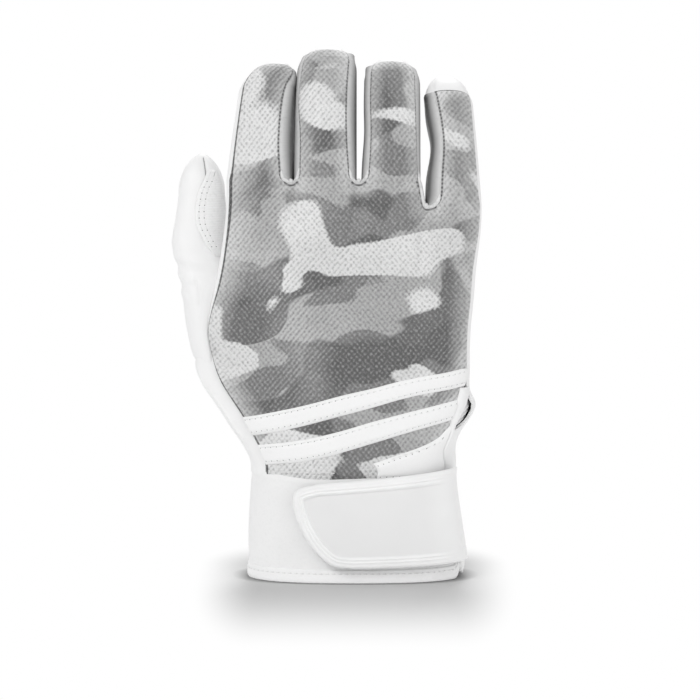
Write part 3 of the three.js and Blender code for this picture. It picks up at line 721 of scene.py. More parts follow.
def slit_floor(k):
    """Columns of the back panel's top edge that are the floor of a slit."""
    start = BACK_CELLS + k * (BACK_CELLS + GAP_CELLS)
    return slice(start, start + GAP_CELLS + 1)


back_grid = panel(back_top, lambda z: on_back(back_share[None, :], z))
piping_gap = beside(back_grid, from_left=False) + BEYOND_PIPING
piping_gap = np.minimum(piping_gap, beside(back_grid, from_right=False))
# Distance from the nearest slit's floor, so that the fingers' seam line runs on round it
floors = np.concatenate([back_top[slit_floor(k)] for k in range(3)])
slit_gap = np.hypot(*(back_grid[..., None, axis] - floors[:, axis] for axis in (0, 2))).min(-1) - FLOOR_RIM
put("back_mesh", sheet(back_grid, behind(back_grid, PANEL_WALL)), printed_mesh, nodes=["back_panel"],
    maps={"cloth": back_grid[..., [0, 2]], "edge": np.stack([slit_gap, piping_gap], -1)})


# Leather fronts of the fingers
# White fine-grained leather faces the palm, rolls over each fingertip as a cap, and on the two outer
# fingers wraps round the outside to the mesh.

leather, wire, feed = finish_of("leather", 0.86, 0.5)
pores = wire.noise(900, 3.0, 0.6)
feed(wire.tone(0.87).tint(0.8, (wire.noise(60) - 0.4).held() * 0.5).tint(0.72, (pores - 0.6).held() * 0.5),
     pores * 0.6 + wire.grains(1400) * 0.4, depth=0.12, strength=0.5)

for name, made in grids.items():
    put(f"{name}_leather", sheet(made["grid"], made["inner"], made["owners"] == "palm", wraps=True), leather,
        blend=made["bends"], nodes=[f"{name}_palm"])


# Sidewall strips
# Between the fingers, narrow strips of smooth white stretch knit join the mesh to the leather, and the
# floor of each slit is a short turned web of the same knit.

knit_finish, wire, feed = finish_of("stretch_knit", 0.5, 0.85, sheen=0.1)
_, inwards, _ = uv_map(wire, "cloth")
fuzz = wire.noise(500, 3.0)
# Painted shade: the white knit is coloured grey, darker still from 0.8 mm in from the mesh, darkest between
# about 5 and 7 mm, and back to the grey by 10 mm, for the shade in the gaps between the fingers
deep = ((inwards / MM - 0.8) / 4.5).held() * ((10.0 - inwards / MM) / 3.0).held()
ribs = wire.place().part(2).waves(0.7)
feed(wire.tone(0.62).tint(0.12, deep).tint(0.3, (fuzz - 0.5).held()), ribs * 0.3 + fuzz,
     depth=0.15, strength=0.5)

for name, made in grids.items():
    # Length gone round each strip from the mesh
    steps = np.linalg.norm(np.roll(made["grid"], -1, 1) - made["grid"], axis=-1)
    inwards = np.zeros(steps.shape)
    inwards[:, BACK_CELLS + 1:LEATHER_FROM + 1] = np.cumsum(steps[:, BACK_CELLS:LEATHER_FROM], 1)
    inwards[:, LEATHER_TO:] = np.cumsum(steps[:, :LEATHER_TO - 1:-1], 1)[:, ::-1]
    side_map = np.stack([inwards, made["grid"][..., 2]], -1)
    for side in FINGERS[name]["sides"]:
        put(f"{name}_{side}_sidewall", sheet(made["grid"], made["inner"], made["owners"] == side, wraps=True),
            knit_finish, blend=made["bends"], nodes=[f"{name}_fourchette_{side}_side"],
            maps={"cloth": side_map})


# Palm panel
# One piece of the same leather covers the palm and wraps round both edges of the hand to the mesh. The
# thumb's own leather is let into it, and a shirred elastic gathers it at the wrist.

THUMB_EDGE = radians(194)


def palm_pick(name):
    """Columns of a finger's foot that the palm is sewn to. It wraps round the side of the outer fingers."""
    if name == "little":
        return slice(BACK_CELLS, LEATHER_TO + 1)
    if name == "index":
        return [*range(LEATHER_FROM, LEATHER_TO + SIDE_CELLS), 0]
    return slice(LEATHER_FROM, LEATHER_TO + 1)


palm_top = top_edge(list(FINGERS)[::-1], palm_pick)
palm_turns = hand_angle(palm_top)
palm_turns[:SIDE_CELLS] = np.linspace(-VENT_SEAM, palm_turns[SIDE_CELLS], SIDE_CELLS + 1)[:-1]
palm_turns[-SIDE_CELLS:] = np.linspace(palm_turns[-SIDE_CELLS - 1], THUMB_EDGE, SIDE_CELLS + 1)[1:]
reach_left = smooth((palm_turns - radians(150)) / radians(44))
reach_right = smooth((radians(28) - palm_turns) / radians(40))
palm_grid = panel(palm_top, lambda z: palm_turns[None, :] + reach_left[None, :] * (thumb_seam(z) - THUMB_EDGE)
                  + reach_right[None, :] * leather_turn(z), blouse)

# Thumb: height as a share of the crotch height, x and half width of the palm width, y of its depth
THUMB_SHARES = np.array([
    [0.46, -0.262, 0.15, 0.09],
    [0.5, -0.327, 0.19, 0.111],
    [0.541, -0.382, 0.23, 0.124],
    [0.61, -0.411, 0.262, 0.127],
    [0.698, -0.442, 0.296, 0.115],
    [0.767, -0.47, 0.36, 0.105],
    [0.83, -0.496, 0.378, 0.103],
    [0.9, -0.488, 0.37, 0.096],
    [0.959, -0.482, 0.35, 0.09],
    [1.02, -0.488, 0.32, 0.086],
])
THUMB_POINT = 1.3
THUMB_PIVOT, THUMB_FADE = (-53, 15), 16
THUMB_FOOT, THUMB_SPLIT, THUMB_TOP, THUMB_DOME = 79.2, 136, 182.8, 17
THUMB_OVERLAP = 1.6
THUMB_CELLS = 28
WRINKLE, WRINKLE_AT, WRINKLE_SPREAD = 0.55, 129, 9


def thumb_skin(angle, z, dome=0.0, offset=0.0):
    """Level rounded ovals under a dome, with wrinkles where the thumb folds against the hand."""
    x, y, half = through(THUMB_SHARES, np.asarray(z) / CROTCH)
    half = half * PALM_WIDTH
    wrinkle = WRINKLE * np.sin(0.75 * z + 1.6 * np.cos(angle)) * bell(z - WRINKLE_AT, WRINKLE_SPREAD)
    grown = (half + offset + wrinkle) * np.cos(dome) ** THUMB_POINT
    return np.stack(np.broadcast_arrays(
        x * PALM_WIDTH + grown * power(np.cos(angle), 2 / HAND_BEND),
        y * PALM_DEPTH + grown * power(np.sin(angle), 2 / HAND_BEND),
        z + (THUMB_DOME + offset) * np.sin(dome)), -1)


def inside_thumb(points, margin):
    """Whether points lie inside the thumb's skin by a margin, by the level of its oval at their height."""
    x, y, half = through(THUMB_SHARES, points[..., 2] / CROTCH)
    half = half * PALM_WIDTH - margin
    level = (np.abs(points[..., 0] - x * PALM_WIDTH) / half) ** HAND_BEND
    level = level + (np.abs(points[..., 1] - y * PALM_DEPTH) / half) ** HAND_BEND
    return (level < 1) & (points[..., 2] > THUMB_FOOT + 3) & (points[..., 2] < THUMB_SPLIT)


clear = ~inside_thumb((palm_grid[:-1, :-1] + palm_grid[1:, 1:]) / 2, THUMB_OVERLAP)
put("palm_leather", sheet(palm_grid, behind(palm_grid, PANEL_WALL), clear), leather,
    nodes=["palm_panel"])


# Webs
# The floor of each slit between two fingers is a strip of knit that dips from the mesh to the palm leather.
# A rolled rim of the knit is sewn round the front of the slit, and its stitches end in a small knot.

# Wall of a web, and the distance from the mesh at which the strips carry their darkest painted shade, which a
# web carries all over
WEB_WALL, WEB_SHADE = 0.9, 7
# A rim's radius and the stretch over which its ends taper, the rows that it climbs up a finger, its points
RIM_RADIUS, RIM_TAPER, RIM_RISE, RIM_POINTS, KNOT_RADIUS = 0.8, 2.5, 4, 48, 0.95


def web(k, before, after):
    """Patch between four edges: the straight blends of opposite edges added, less that of the corners."""
    left = grids[before]["grid"][0, BACK_CELLS:LEATHER_FROM + 1]
    right = grids[after]["grid"][0, [0, *range(LEATHER_TO + SIDE_CELLS - 1, LEATHER_TO - 1, -1)]]
    front = back_grid[-1, slit_floor(k)]
    start = SIDE_CELLS + PALM_CELLS + (2 - k) * (PALM_CELLS + GAP_CELLS)
    rear = palm_grid[-1, start:start + GAP_CELLS + 1][::-1]
    s = np.linspace(0, 1, len(left))[:, None, None]
    t = np.linspace(0, 1, GAP_CELLS + 1)[None, :, None]
    corners = mix(mix(left[0], right[0], t), mix(left[-1], right[-1], t), s)
    return mix(left[:, None], right[:, None], t) + mix(front[None], rear[None], s) - corners


def ring_quads(rings):
    """Quads between the neighbouring rings of points of a cord, or of many cords at once."""
    right = np.roll(rings, -1, -1)
    quads = [rings[..., :-1, :], right[..., :-1, :], right[..., 1:, :], rings[..., 1:, :]]
    return np.stack(quads, -1).reshape(-1, 4)


def tube(path, radius, sides=10):
    """Round cord along a path: at each point a circle square to it, with a radius of its own."""
    along = np.gradient(path, axis=0)
    along /= np.linalg.norm(along, axis=1, keepdims=True)
    side = np.cross(along, [0.0, 1.0, 0.0])
    side /= np.linalg.norm(side, axis=1, keepdims=True)
    up = np.cross(side, along)
    turn = np.arange(sides) * CIRCLE / sides
    ring = side[:, None] * np.cos(turn)[None, :, None] + up[:, None] * np.sin(turn)[None, :, None]
    points = path[:, None] + ring * np.broadcast_to(radius, len(path))[:, None, None]
    return points.reshape(-1, 3), ring_quads(np.arange(len(path) * sides).reshape(len(path), sides))


def joined(shapes):
    """Several shapes of points and quads as one."""
    firsts = np.cumsum([0] + [len(points) for points, _ in shapes])
    faces = np.concatenate([quads + first for (_, quads), first in zip(shapes, firsts)])
    return np.concatenate([points for points, _ in shapes]), faces


slit_rims = []
in_order = list(FINGERS)
for k, (before, after) in enumerate(zip(in_order, in_order[1:])):
    grid = web(k, before, after)
    shade_map = np.stack([0 * grid[..., 0] + WEB_SHADE, grid[..., 1]], -1)
    put(f"{before}_{after}_web", sheet(grid, grid - np.array([0, 0, WEB_WALL])), knit_finish,
        nodes=[f"web_{before}_{after}"], maps={"cloth": shade_map})
    path = np.concatenate([grids[before]["grid"][RIM_RISE:0:-1, BACK_CELLS], back_grid[-1, slit_floor(k)],
                           grids[after]["grid"][1:RIM_RISE + 1, 0]])
    gone = gone_along(path)
    fine = np.linspace(0, gone[-1], RIM_POINTS)
    path = np.stack([np.interp(fine, gone, path[:, axis]) for axis in range(3)], -1)
    ends = np.minimum(fine, fine[::-1])
    slit_rims.append(tube(path, RIM_RADIUS * np.sqrt(np.clip(ends / RIM_TAPER, 0, 1))))
    low = path[np.argmin(path[:, 2])] + [0, -RIM_RADIUS * 0.6, 0.9]
    s = np.linspace(-1, 1, 9)
    knot = low + s[:, None] * np.array([0.2, 0, 1]) * KNOT_RADIUS
    slit_rims.append(tube(knot, KNOT_RADIUS * np.sqrt(1 - s * s)))

rim_finish, wire, feed = finish_of("rolled_rim", 0.72, 0.8, sheen=0.1)
fuzz = wire.noise(700, 3.0)
feed(wire.tone(0.76).tint(0.4, (fuzz - 0.42).held() * 1.5), fuzz, depth=0.2, strength=0.6)
put("slit_rims", joined(slit_rims), rim_finish)


# Thumb
# The thumb's leather rises out of the palm, an outer half with the tip and an inner half that faces the
# index finger, joined by two seams. The thumb stands behind the edge of the hand.

def emerging(angles):
    """Height at which each column of the thumb's skin leaves the hand's, found by halving."""
    low, high = np.full_like(angles, THUMB_FOOT), np.full_like(angles, THUMB_SPLIT - 2.0)
    for _ in range(30):
        z = (low + high) / 2
        x, y, _ = np.moveaxis(thumb_skin(angles, z), -1, 0)
        middle, half, back, palm = hand_oval(z)
        depth = np.where(y < 0, back, palm)
        out = (np.abs(x - middle) / half) ** HAND_BEND + (np.abs(y) / depth) ** HAND_BEND > 1
        low, high = np.where(out, low, z), np.where(out, z, high)
    return high


THUMB_FRONT, THUMB_REAR = radians(280), radians(460)
angles = np.concatenate([np.linspace(THUMB_FRONT, THUMB_REAR, THUMB_CELLS, endpoint=False),
                         np.linspace(THUMB_REAR, THUMB_FRONT + CIRCLE, THUMB_CELLS, endpoint=False)])
start = emerging(angles)
ROOT_ROWS, ROOT_TUCK = 40, 0.6
share = np.linspace(0, 1, ROOT_ROWS)[:, None]
z = mix(start[None, :] - ROOT_TUCK, THUMB_SPLIT, share)
grid = thumb_skin(angles[None, :], z, 0.0, -SEAM_DIP * bell(share * ROOT_ROWS, 1.5))
put("thumb_root_leather", sheet(grid, behind(grid, PANEL_WALL, wraps=True), wraps=True), leather,
    nodes=["thumb_base"])

STALL_ROWS, DOME_ROWS, SEAM_ROW = 40, 16, 50
stall_top = THUMB_TOP - THUMB_DOME
z = np.concatenate([np.linspace(THUMB_SPLIT, stall_top, STALL_ROWS), np.full(DOME_ROWS, stall_top)])[:, None]
dome = np.concatenate([np.zeros(STALL_ROWS), np.linspace(0, pi / 2, DOME_ROWS + 1)[1:]])[:, None]
rows = np.arange(len(z))[:, None]
crease = ring_crease(2 * THUMB_CELLS, (0, THUMB_CELLS))[None, :]
crease = crease * above(z, THUMB_SPLIT, SEAM_START) * (rows <= SEAM_ROW)
grid = thumb_skin(angles[None, :], z, dome, -SEAM_DIP * crease)
inner = behind(grid, PANEL_WALL, wraps=True)
row_at, col_at = np.mgrid[0:len(z) - 1, 0:2 * THUMB_CELLS]
is_inner = (col_at < THUMB_CELLS) & (row_at < SEAM_ROW)
thumb_bends = ("thumb", (*THUMB_PIVOT, THUMB_SPLIT), (*THUMB_PIVOT, THUMB_SPLIT + THUMB_FADE))
for half, cells in (("inner", is_inner), ("outer", ~is_inner)):
    put(f"thumb_{half}_leather", sheet(grid, inner, cells, wraps=True), leather, blend=thumb_bends,
        nodes=[f"thumb_{half}"])

STITCH_PITCH, HOLE_RADIUS = 2.75, 0.31


def needle_holes(wire, along, across):
    """Painted shade of round needle holes a stitch apart on the line where across is nothing: 1 in a hole, 0
    outside it.
    """
    cell = wire.math("ABSOLUTE", wire.math("FRACT", along / (STITCH_PITCH * MM)) - 0.5) * STITCH_PITCH
    away = wire.math("SQRT", cell * cell + (across / MM) * (across / MM))
    return ((HOLE_RADIUS - away) * 6.0).held()


def spindle(start, end, up, radius):
    """Many short threads at once: each runs from its start to its end in a low arch of five-sided rings
    that close to points at both ends."""
    t = np.array([0, 0.08, 0.28, 0.5, 0.72, 0.92, 1])
    size = np.array([0, 0.7, 1, 1, 1, 0.7, 0]) * radius
    lift = (np.sin(pi * t) * 0.8 - 0.35) * radius
    along = end - start
    side = np.cross(along, up)
    side /= np.linalg.norm(side, axis=-1, keepdims=True)
    turn = np.arange(5) * CIRCLE / 5
    middle = start[:, None] + along[:, None] * t[None, :, None] + up[:, None] * lift[None, :, None]
    ring = side[:, None, None] * np.cos(turn)[None, None, :, None]
    ring = ring + up[:, None, None] * np.sin(turn)[None, None, :, None]
    points = middle[:, :, None] + ring * size[None, :, None, None]
    return points.reshape(-1, 3), ring_quads(np.arange(points[..., 0].size).reshape(points.shape[:3]))


def sewn(path, raised, length=1.7, radius=0.19):
    """A row of stitches along a path. raised is the same path further out, which gives the threads' up."""
    gone = gone_along(path)
    starts = np.arange(STITCH_PITCH / 2 + 0.4, gone[-1] - length, STITCH_PITCH)
    at = lambda line, s: np.stack([np.interp(s, gone, line[:, k]) for k in range(3)], -1)
    start, end, middle = at(path, starts), at(path, starts + length), starts + length / 2
    up = at(raised, middle) - at(path, middle)
    return spindle(start, end, up / np.linalg.norm(up, axis=-1, keepdims=True), radius)


thread, wire, feed = finish_of("thread", 0.84, 0.6, sheen=0.2)
twist = wire.noise(2500, 1.0)
feed(wire.tone(0.86).tint(0.7, twist.held()), twist, depth=0.1, strength=0.6)

# Lens-shaped wear patch of greyer leather with pinked ribs, sewn down by two rows near its left edge
PATCH_ANGLES = np.radians([262, 346])
PATCH_FOOT, PATCH_TOP = 138.5, 176
PATCH_WALL, PATCH_LIFT = 0.8, 0.15
PATCH_LEAN = radians(15)
PATCH_ROWS = (2.2, 4.4)
RIB_PITCH = 1.1
v = np.linspace(0, 1, 60)[:, None]
u = np.linspace(-1, 1, 40)[None, :]
swell = np.sin(pi * mix(0.04, 0.96, v)) ** 0.7
patch_angle = PATCH_ANGLES.mean() + PATCH_LEAN * (0.5 - v) + np.ptp(PATCH_ANGLES) / 2 * swell * u
patch_z = mix(PATCH_FOOT, PATCH_TOP, v)
rounding = np.clip((1 - np.abs(u)) * 9, 0, 1) ** 0.5 * np.clip((1 - np.abs(2 * v - 1)) * 12, 0, 1) ** 0.5
stall_dome = np.clip(patch_z - stall_top, 0, None)
patch_dome = np.arcsin(np.clip(stall_dome / THUMB_DOME, 0, 1))
patch_at = lambda offset: thumb_skin(patch_angle, np.minimum(patch_z, stall_top), patch_dome, offset)
patch_grid = patch_at(PATCH_LIFT + PATCH_WALL * rounding)
from_left = gone_along(patch_grid, 1)
# Rows of the patch that its stitches use: all but a few at its points
SEWN_ROWS = np.arange(5, len(from_left) - 5)


def patch_row(inset, lift):
    """The points of the patch that lie that far from its left edge, a little above its face."""
    columns = np.array([np.interp(inset, row, np.arange(len(row))) for row in from_left[SEWN_ROWS]])
    low = columns.astype(int)
    part = (columns - low)[:, None]
    line = patch_grid + normals(patch_grid, False) * lift
    return line[SEWN_ROWS, low] * (1 - part) + line[SEWN_ROWS, low + 1] * part


def patch_climb(inset):
    """Length along a row of stitches, for each row of the patch."""
    return np.interp(np.arange(len(v)), SEWN_ROWS, gone_along(patch_row(inset, 0)))[:, None]


climb = np.where(from_left < sum(PATCH_ROWS) / 2, *(patch_climb(row) for row in PATCH_ROWS))

patch_leather, wire, feed = finish_of("patch_leather", 0.86, 0.6)
_, along, from_edge = uv_map(wire, "cloth")
pores = wire.noise(900, 3.0)
# Painted shade in the needle holes of the two rows of stitching
hole = wire.math("MAXIMUM", *(needle_holes(wire, along, from_edge - row * MM) for row in PATCH_ROWS))
ribs = along.waves(RIB_PITCH) * ((from_edge / MM - 4.5) / 2).held()
tone = wire.tone(0.87).tint(0.74, (ribs * 0.5 + 0.2).held() * 0.3)
feed(tone.tint(0.6, (pores - 0.5).held()).tint(0.06, hole * 0.9), ribs * 0.3 + pores * 0.4 - hole,
     depth=0.2, strength=0.6)
put("thumb_wear_patch", sheet(patch_grid, patch_at(0.05)), patch_leather, blend=thumb_bends,
    nodes=["thumb_patch"], maps={"cloth": np.stack([climb, from_left], -1)})

# The two halves of the thumb meet in a fine dark seam that runs from the patch up over the tip
seam_finish, wire, feed = finish_of("tip_seam", 0.3, 0.7)
fuzz = wire.noise(900)
feed(wire.tone(0.25).tint(0.5, fuzz), fuzz, depth=0.1, strength=0.5)
TIP_SEAM_RADIUS, TIP_SEAM_DEPTH, TIP_SEAM_TURNS = 0.26, 0.42, (0.34, 1.5)
s = np.linspace(0, 1, 40)
seam_path = thumb_skin(THUMB_FRONT, stall_top, mix(*TIP_SEAM_TURNS, s), -TIP_SEAM_DEPTH)
tip_seam = tube(seam_path, TIP_SEAM_RADIUS * (1 - (2 * s - 1) ** 2) ** 0.3, sides=8)
put("thumb_tip_seam", tip_seam, seam_finish, blend=thumb_bends)

patch_threads = joined([sewn(patch_row(row, 0.02), patch_row(row, 1.0), radius=0.16) for row in PATCH_ROWS])
put("patch_threads", patch_threads, thread, blend=thumb_bends)


# Wrist stripes, wedge and slit binding
# Two curved stripes of smooth white synthetic are stitched across the mesh above the cuff, with a white
# wedge in the corner below them and a folded tape along the edge of the slit.

# Rows of place across the back, then the heights of the strip's lower and upper edge there
UPPER_ROWS = [[-37, 61.3, 70], [-22, 64.6, 73.3], [-8, 67.9, 76.6], [6.6, 71.9, 80.5], [19.9, 75.4, 83.5],
              [30.4, 78.3, 86.2], [40.9, 80.6, 88.3], [51.4, 82.2, 89.8], [58.4, 83.4, 91]]
LOWER_ROWS = [[-37, 48.5, 57.5], [-27, 50, 58.9], [-8, 52.7, 62], [6, 56.1, 65.3], [20, 60.2, 69.4],
              [34, 64.3, 72.9], [44.4, 66.9, 75.2], [53.5, 69, 77.2], [60, 70.5, 78.4]]
WEDGE_ROWS = [[4.1, 46.3], [9.7, 48.5], [20, 51.6], [30.6, 55.1], [41, 58.5], [48, 61.8], [53.1, 66.5],
              [58, 70]]
WEDGE_FOOT = 44.4
TAPE_WALL, TAPE_LIFT = 0.9, 0.1
STITCH_INSET, STITCH_DIP, STITCH_SPREAD = 1.5, 0.16, 0.45
# How far in from its edges a tape's cross-section rounds off and rises to its full height
TAPE_ROUND, TAPE_RISE = 0.7, 2.5

tape, wire, feed = finish_of("white_tape", 0.88, 0.55)
_, along, across = uv_map(wire, "cloth")
weave = wire.noise(1100)
# Painted shade in the needle holes along the stitching
hole = needle_holes(wire, along, across)
feed(wire.tone(0.88).tint(0.8, (weave - 0.5).held()).tint(0.1, hole * 0.8), weave * 0.4 - hole,
     depth=0.15, strength=0.5)


def laid_strip(span, edges, cells, rows):
    """A strip sewn on the back panel between two edges that are heights over x. Its place is settled by a
    few rounds, and its cross-section rounds off at both edges and sinks along its stitching."""
    share = np.linspace(*span, cells)[None, :]
    v = np.linspace(0, 1, rows)[:, None]
    z = np.full((rows, cells), 65.0)
    for _ in range(12):
        x = hand_skin(on_back(share, z), z)[..., 0]
        low, high = edges(x)
        z = mix(low, high, v)
    width = high - low
    edge = np.minimum(v, 1 - v) * width
    profile = TAPE_WALL * np.clip(edge / TAPE_ROUND, 0, 1) ** 0.5 * mix(0.55, 1, smooth(edge / TAPE_RISE))
    profile = profile - STITCH_DIP * bell(edge - STITCH_INSET, STITCH_SPREAD)
    ends = np.minimum(np.arange(cells), np.arange(cells)[::-1])[None, :]
    profile = profile * np.clip(ends / 1.5, 0.35, 1)
    outer = hand_skin(on_back(share, z), z, TAPE_LIFT + profile)
    inner = hand_skin(on_back(share, z), z, 0.02)
    length = np.broadcast_to(gone_along(outer[rows // 2]), (rows, cells))
    return outer, inner, np.stack([length, edge - STITCH_INSET], -1), share, z


def strip_stitches(share, z, edges, insets):
    """Rows of stitches on a laid strip, each at its inset from the lower or the upper edge."""
    rows = []
    middle = len(z) // 2
    low, high = edges(hand_skin(on_back(share, z), z)[middle, :, 0])
    for from_top, inset in insets:
        height = high - inset if from_top else low + inset
        path = lambda offset: hand_skin(on_back(share[0], height), height, offset)
        rows.append(sewn(path(TAPE_LIFT + 0.72 * TAPE_WALL), path(TAPE_LIFT + TAPE_WALL + 1)))
    return rows


threads = []
# Each stripe's share of the way across the back, and its rows
STRIPES = {"upper_stripe": ((0.016, 0.99), UPPER_ROWS), "lower_stripe": ((0.018, 0.955), LOWER_ROWS)}
for name, (span, rows) in STRIPES.items():
    edges = lambda x, rows=rows: through(rows, x)
    outer, inner, holes, share, z = laid_strip(span, edges, 130, 17)
    put(f"{name}_tape", sheet(outer, inner), tape, nodes=[name], maps={"cloth": holes})
    threads += strip_stitches(share, z, edges, [(False, STITCH_INSET), (True, STITCH_INSET)])


def wedge_edges(x):
    """The wedge's level foot, and its top under the lower stripe or along its own slanted end."""
    top = np.minimum(through(LOWER_ROWS, x)[0] - 0.4, through(WEDGE_ROWS, x)[0])
    return WEDGE_FOOT + 0 * x, top


WEDGE_SPAN, WEDGE_FOOT_INSET = (0.535, 0.985), 4.2
# The columns of the wedge that are high enough for its stitches
WEDGE_SEWN = slice(14, -3)
outer, inner, holes, share, z = laid_strip(WEDGE_SPAN, wedge_edges, 90, 21)
put("wedge_tape", sheet(outer, inner), tape, nodes=["wedge_panel"], maps={"cloth": holes})
threads += strip_stitches(share[:, WEDGE_SEWN], z[:, WEDGE_SEWN], wedge_edges,
                          [(True, STITCH_INSET), (False, WEDGE_FOOT_INSET)])
# A row of white stitches on the mesh holds the cuff behind it
TACK_HEIGHT = 47.6
tack = np.radians(np.linspace(227, 266, 60))
threads.append(sewn(hand_skin(tack, TACK_HEIGHT, 0.25), hand_skin(tack, TACK_HEIGHT, 1.2), radius=0.34))

# Folded tape along the slit, a half-round bead that grips the panel's edge
BINDING_EDGES = [[46, 0.985, 1.002], [59, 0.985, 1.003], [63, 0.983, 1.02], [67.5, 0.957, 1.015],
                 [72, 0.944, 1.045], [76.5, 0.948, 1.075], [84, 0.945, 1.06]]
VENT_TOP, BEAD_HEIGHT, BEAD_FADE = 82.8, 1.3, 3
z = np.linspace(CUFF_TOP, VENT_TOP, 60)[:, None]
u = np.linspace(0, 1, 14)[None, :]
fade = np.clip((VENT_TOP - z) / BEAD_FADE, 0.3, 1) ** 0.5
bead = TAPE_LIFT + BEAD_HEIGHT * np.sqrt(np.clip(1 - (2 * u - 1) ** 2, 0, 1)) * fade
left, right = through(BINDING_EDGES, z)
binding = lambda offset: hand_skin(on_back(mix(left, right, u), z), z, offset)
put("slit_binding", sheet(binding(bead), binding(-0.6)), leather, nodes=["vent_binding"])

# The leather runs on behind the slit, gathered in soft folds that fan out from its upper end
FOLD_HEIGHT, FOLD_PITCH, FOLD_FAN, FOLD_DEPTHS = 1.2, 3.0, 14, (3.2, 4)
BEHIND_EDGES = radians(4)
z = np.linspace(60, 85, 70)[:, None]
turn = mix(vent_edge(z) - BEHIND_EDGES, CIRCLE + leather_turn(z) + BEHIND_EDGES,
           np.linspace(0, 1, 40)[None, :])
folds = FOLD_HEIGHT * np.sin(CIRCLE * (z - FOLD_FAN * (turn - turn[:, :1])) / FOLD_PITCH)
gusset = lambda depth: hand_skin(turn, z, 0.8 * blouse(turn, z) + (folds - depth))
put("slit_gusset", sheet(*(gusset(depth) for depth in FOLD_DEPTHS)), leather)


# Cuff
# A band of white ribbed knit round the wrist, open at the little finger's side, with a tape folded round
# its hem, and inside the palm a flat elastic that gathers the leather.

CUFF_WALL, BAND_HEIGHT = 2, 44
CUFF_FROM, CUFF_TO = radians(-8), radians(349)
# How far the hem lifts at the band's front and rear end, and how far the rear end's fold stands out
FRONT_LIFT, REAR_LIFT, END_FOLD = 3.6, 4.6, 0.6
# Height of the cuff's upper edge by its turn round the wrist, in degrees
CUFF_EDGE = [[-8, 47.6], [60, 46.6], [180, 46.4], [200, 47.2], [215, 46.9], [228, 46.4], [243, 45.3],
             [255, 44.7], [267, 44.9], [285, 45.8], [300, 46.5], [349, 47.8]]

band, wire, feed = finish_of("cuff_knit", 0.84, 0.75, sheen=0.1)
_, along, up = uv_map(wire, "cloth")
fuzz = wire.noise(900, 3.0)
feed(wire.tone(0.86).tint(0.76, (wire.noise(50) - 0.4).held() * 0.5).tint(0.72, (fuzz - 0.5).held() * 0.8),
     along.waves(0.9) * up.waves(1.1) * 0.25 + fuzz * 0.5, depth=0.12, strength=0.5)


def cuff_skin(angle, z, offset):
    """The hand's oval without the ripples of its cloth."""
    return hand_skin(angle, z, offset, cloth=0)


def corner_lift(angle, z):
    """The hem lifts and rounds off at both ends of the band."""
    front = smooth((angle - radians(333)) / radians(16)) ** 2
    rear = smooth((radians(8) - angle) / radians(16)) ** 2
    return (FRONT_LIFT * front + REAR_LIFT * rear) * below(z, 24, 22)


def end_lump(angle, z):
    """The rear end is folded over twice and stands out below the strap."""
    return END_FOLD * bell(angle, radians(11)) * below(z, 11.5, 4)


angle = np.linspace(CUFF_FROM, CUFF_TO, 260)[None, :]
share = np.linspace(0, 1, 40)[:, None]
z = mix(1.2, through(CUFF_EDGE, np.degrees(angle))[0], share)
z = z + corner_lift(angle, z)
from_top = (1 - share) * BAND_HEIGHT
puff = 0.55 * np.clip(from_top / 3, 0, 1) ** 0.5 - 0.3 * bell(from_top - 3.2, 0.6)
wave = 0.25 * np.sin(4 * angle + 0.07 * z) * above(z, 6, 12)
grid = cuff_skin(angle, z, puff + wave - 0.1 + end_lump(angle, z))
inner = cuff_skin(angle, z, -CUFF_WALL)
girth = np.broadcast_to(gone_along(grid[20]), grid.shape[:2])
put("cuff_band_knit", sheet(grid, inner), band, nodes=["cuff_band"],
    maps={"cloth": np.stack([girth, grid[..., 2]], -1)})

# The hem tape's section: up the outside, round under the hem and up the inside
turn = np.linspace(0, 1, 30)[:, None]
HEM_SECTION = np.array([[0, -0.35, 6.2], [0.08, 0.75, 5.9], [0.2, 1.0, 4.2], [0.32, 1.25, 2.0],
                        [0.44, 0.9, 0.25], [0.5, -0.4, 0.0], [0.58, -1.6, 0.0], [0.68, -2.9, 0.25],
                        [0.8, -3.25, 2.0], [0.92, -3.0, 5.0], [1, -2.3, 6.2]])
hem_offset, hem_z = through(HEM_SECTION, turn)
HEM_SHRINK, HEM_STITCHES = 0.72, 4.2
hem_angle = np.linspace(CUFF_FROM, CUFF_TO, 240)[None, :]
pucker = 0.1 * np.sin(hem_angle * 130) * bell(hem_z - HEM_STITCHES, 1.2)
hem_rise = corner_lift(hem_angle, hem_z)
lump = end_lump(hem_angle, hem_z) * (hem_offset > -1)
outer = cuff_skin(hem_angle, hem_z + hem_rise, hem_offset + pucker + lump)
# The inner face is the same section, drawn in towards its middle
inner = cuff_skin(hem_angle, mix(3.0, hem_z, HEM_SHRINK) + hem_rise, mix(-1.0, hem_offset + lump, HEM_SHRINK))
from_stitches = np.where(hem_offset > -1, hem_z - HEM_STITCHES, 9.0)
holes = np.stack(np.broadcast_arrays(gone_along(outer[5])[None, :], from_stitches), -1)
put("hem_tape", sheet(outer, inner), tape, nodes=["cuff_hem_tape"], maps={"cloth": holes})
lift, lump = corner_lift(hem_angle[0], HEM_STITCHES), end_lump(hem_angle[0], HEM_STITCHES)
hem_line = lambda offset: cuff_skin(hem_angle[0], HEM_STITCHES + lift, offset + lump)
threads.append(sewn(hem_line(1.05), hem_line(2.0), length=2.1))

# The band's rear end is folded over into a round knob below the strap
KNOB_MIDDLE, KNOB_HALF, KNOB_RADIUS = 6.6, 4.8, 2.7
s = np.linspace(-1, 1, 30)
knob_path = cuff_skin(radians(-5), KNOB_MIDDLE + KNOB_HALF * s, 0.3)
put("cuff_end_fold", tube(knob_path, KNOB_RADIUS * (1 - s * s) ** 0.4, sides=24), leather)

pile, wire, feed = finish_of("pile", 0.8, 0.95, sheen=0.4)
tufts = wire.noise(400, 4.0, 0.7)
feed(wire.tone(0.84).tint(0.5, (tufts - 0.4).held() * 1.2), wire.grains(900) * 0.6 + tufts,
     depth=0.5, strength=0.8)

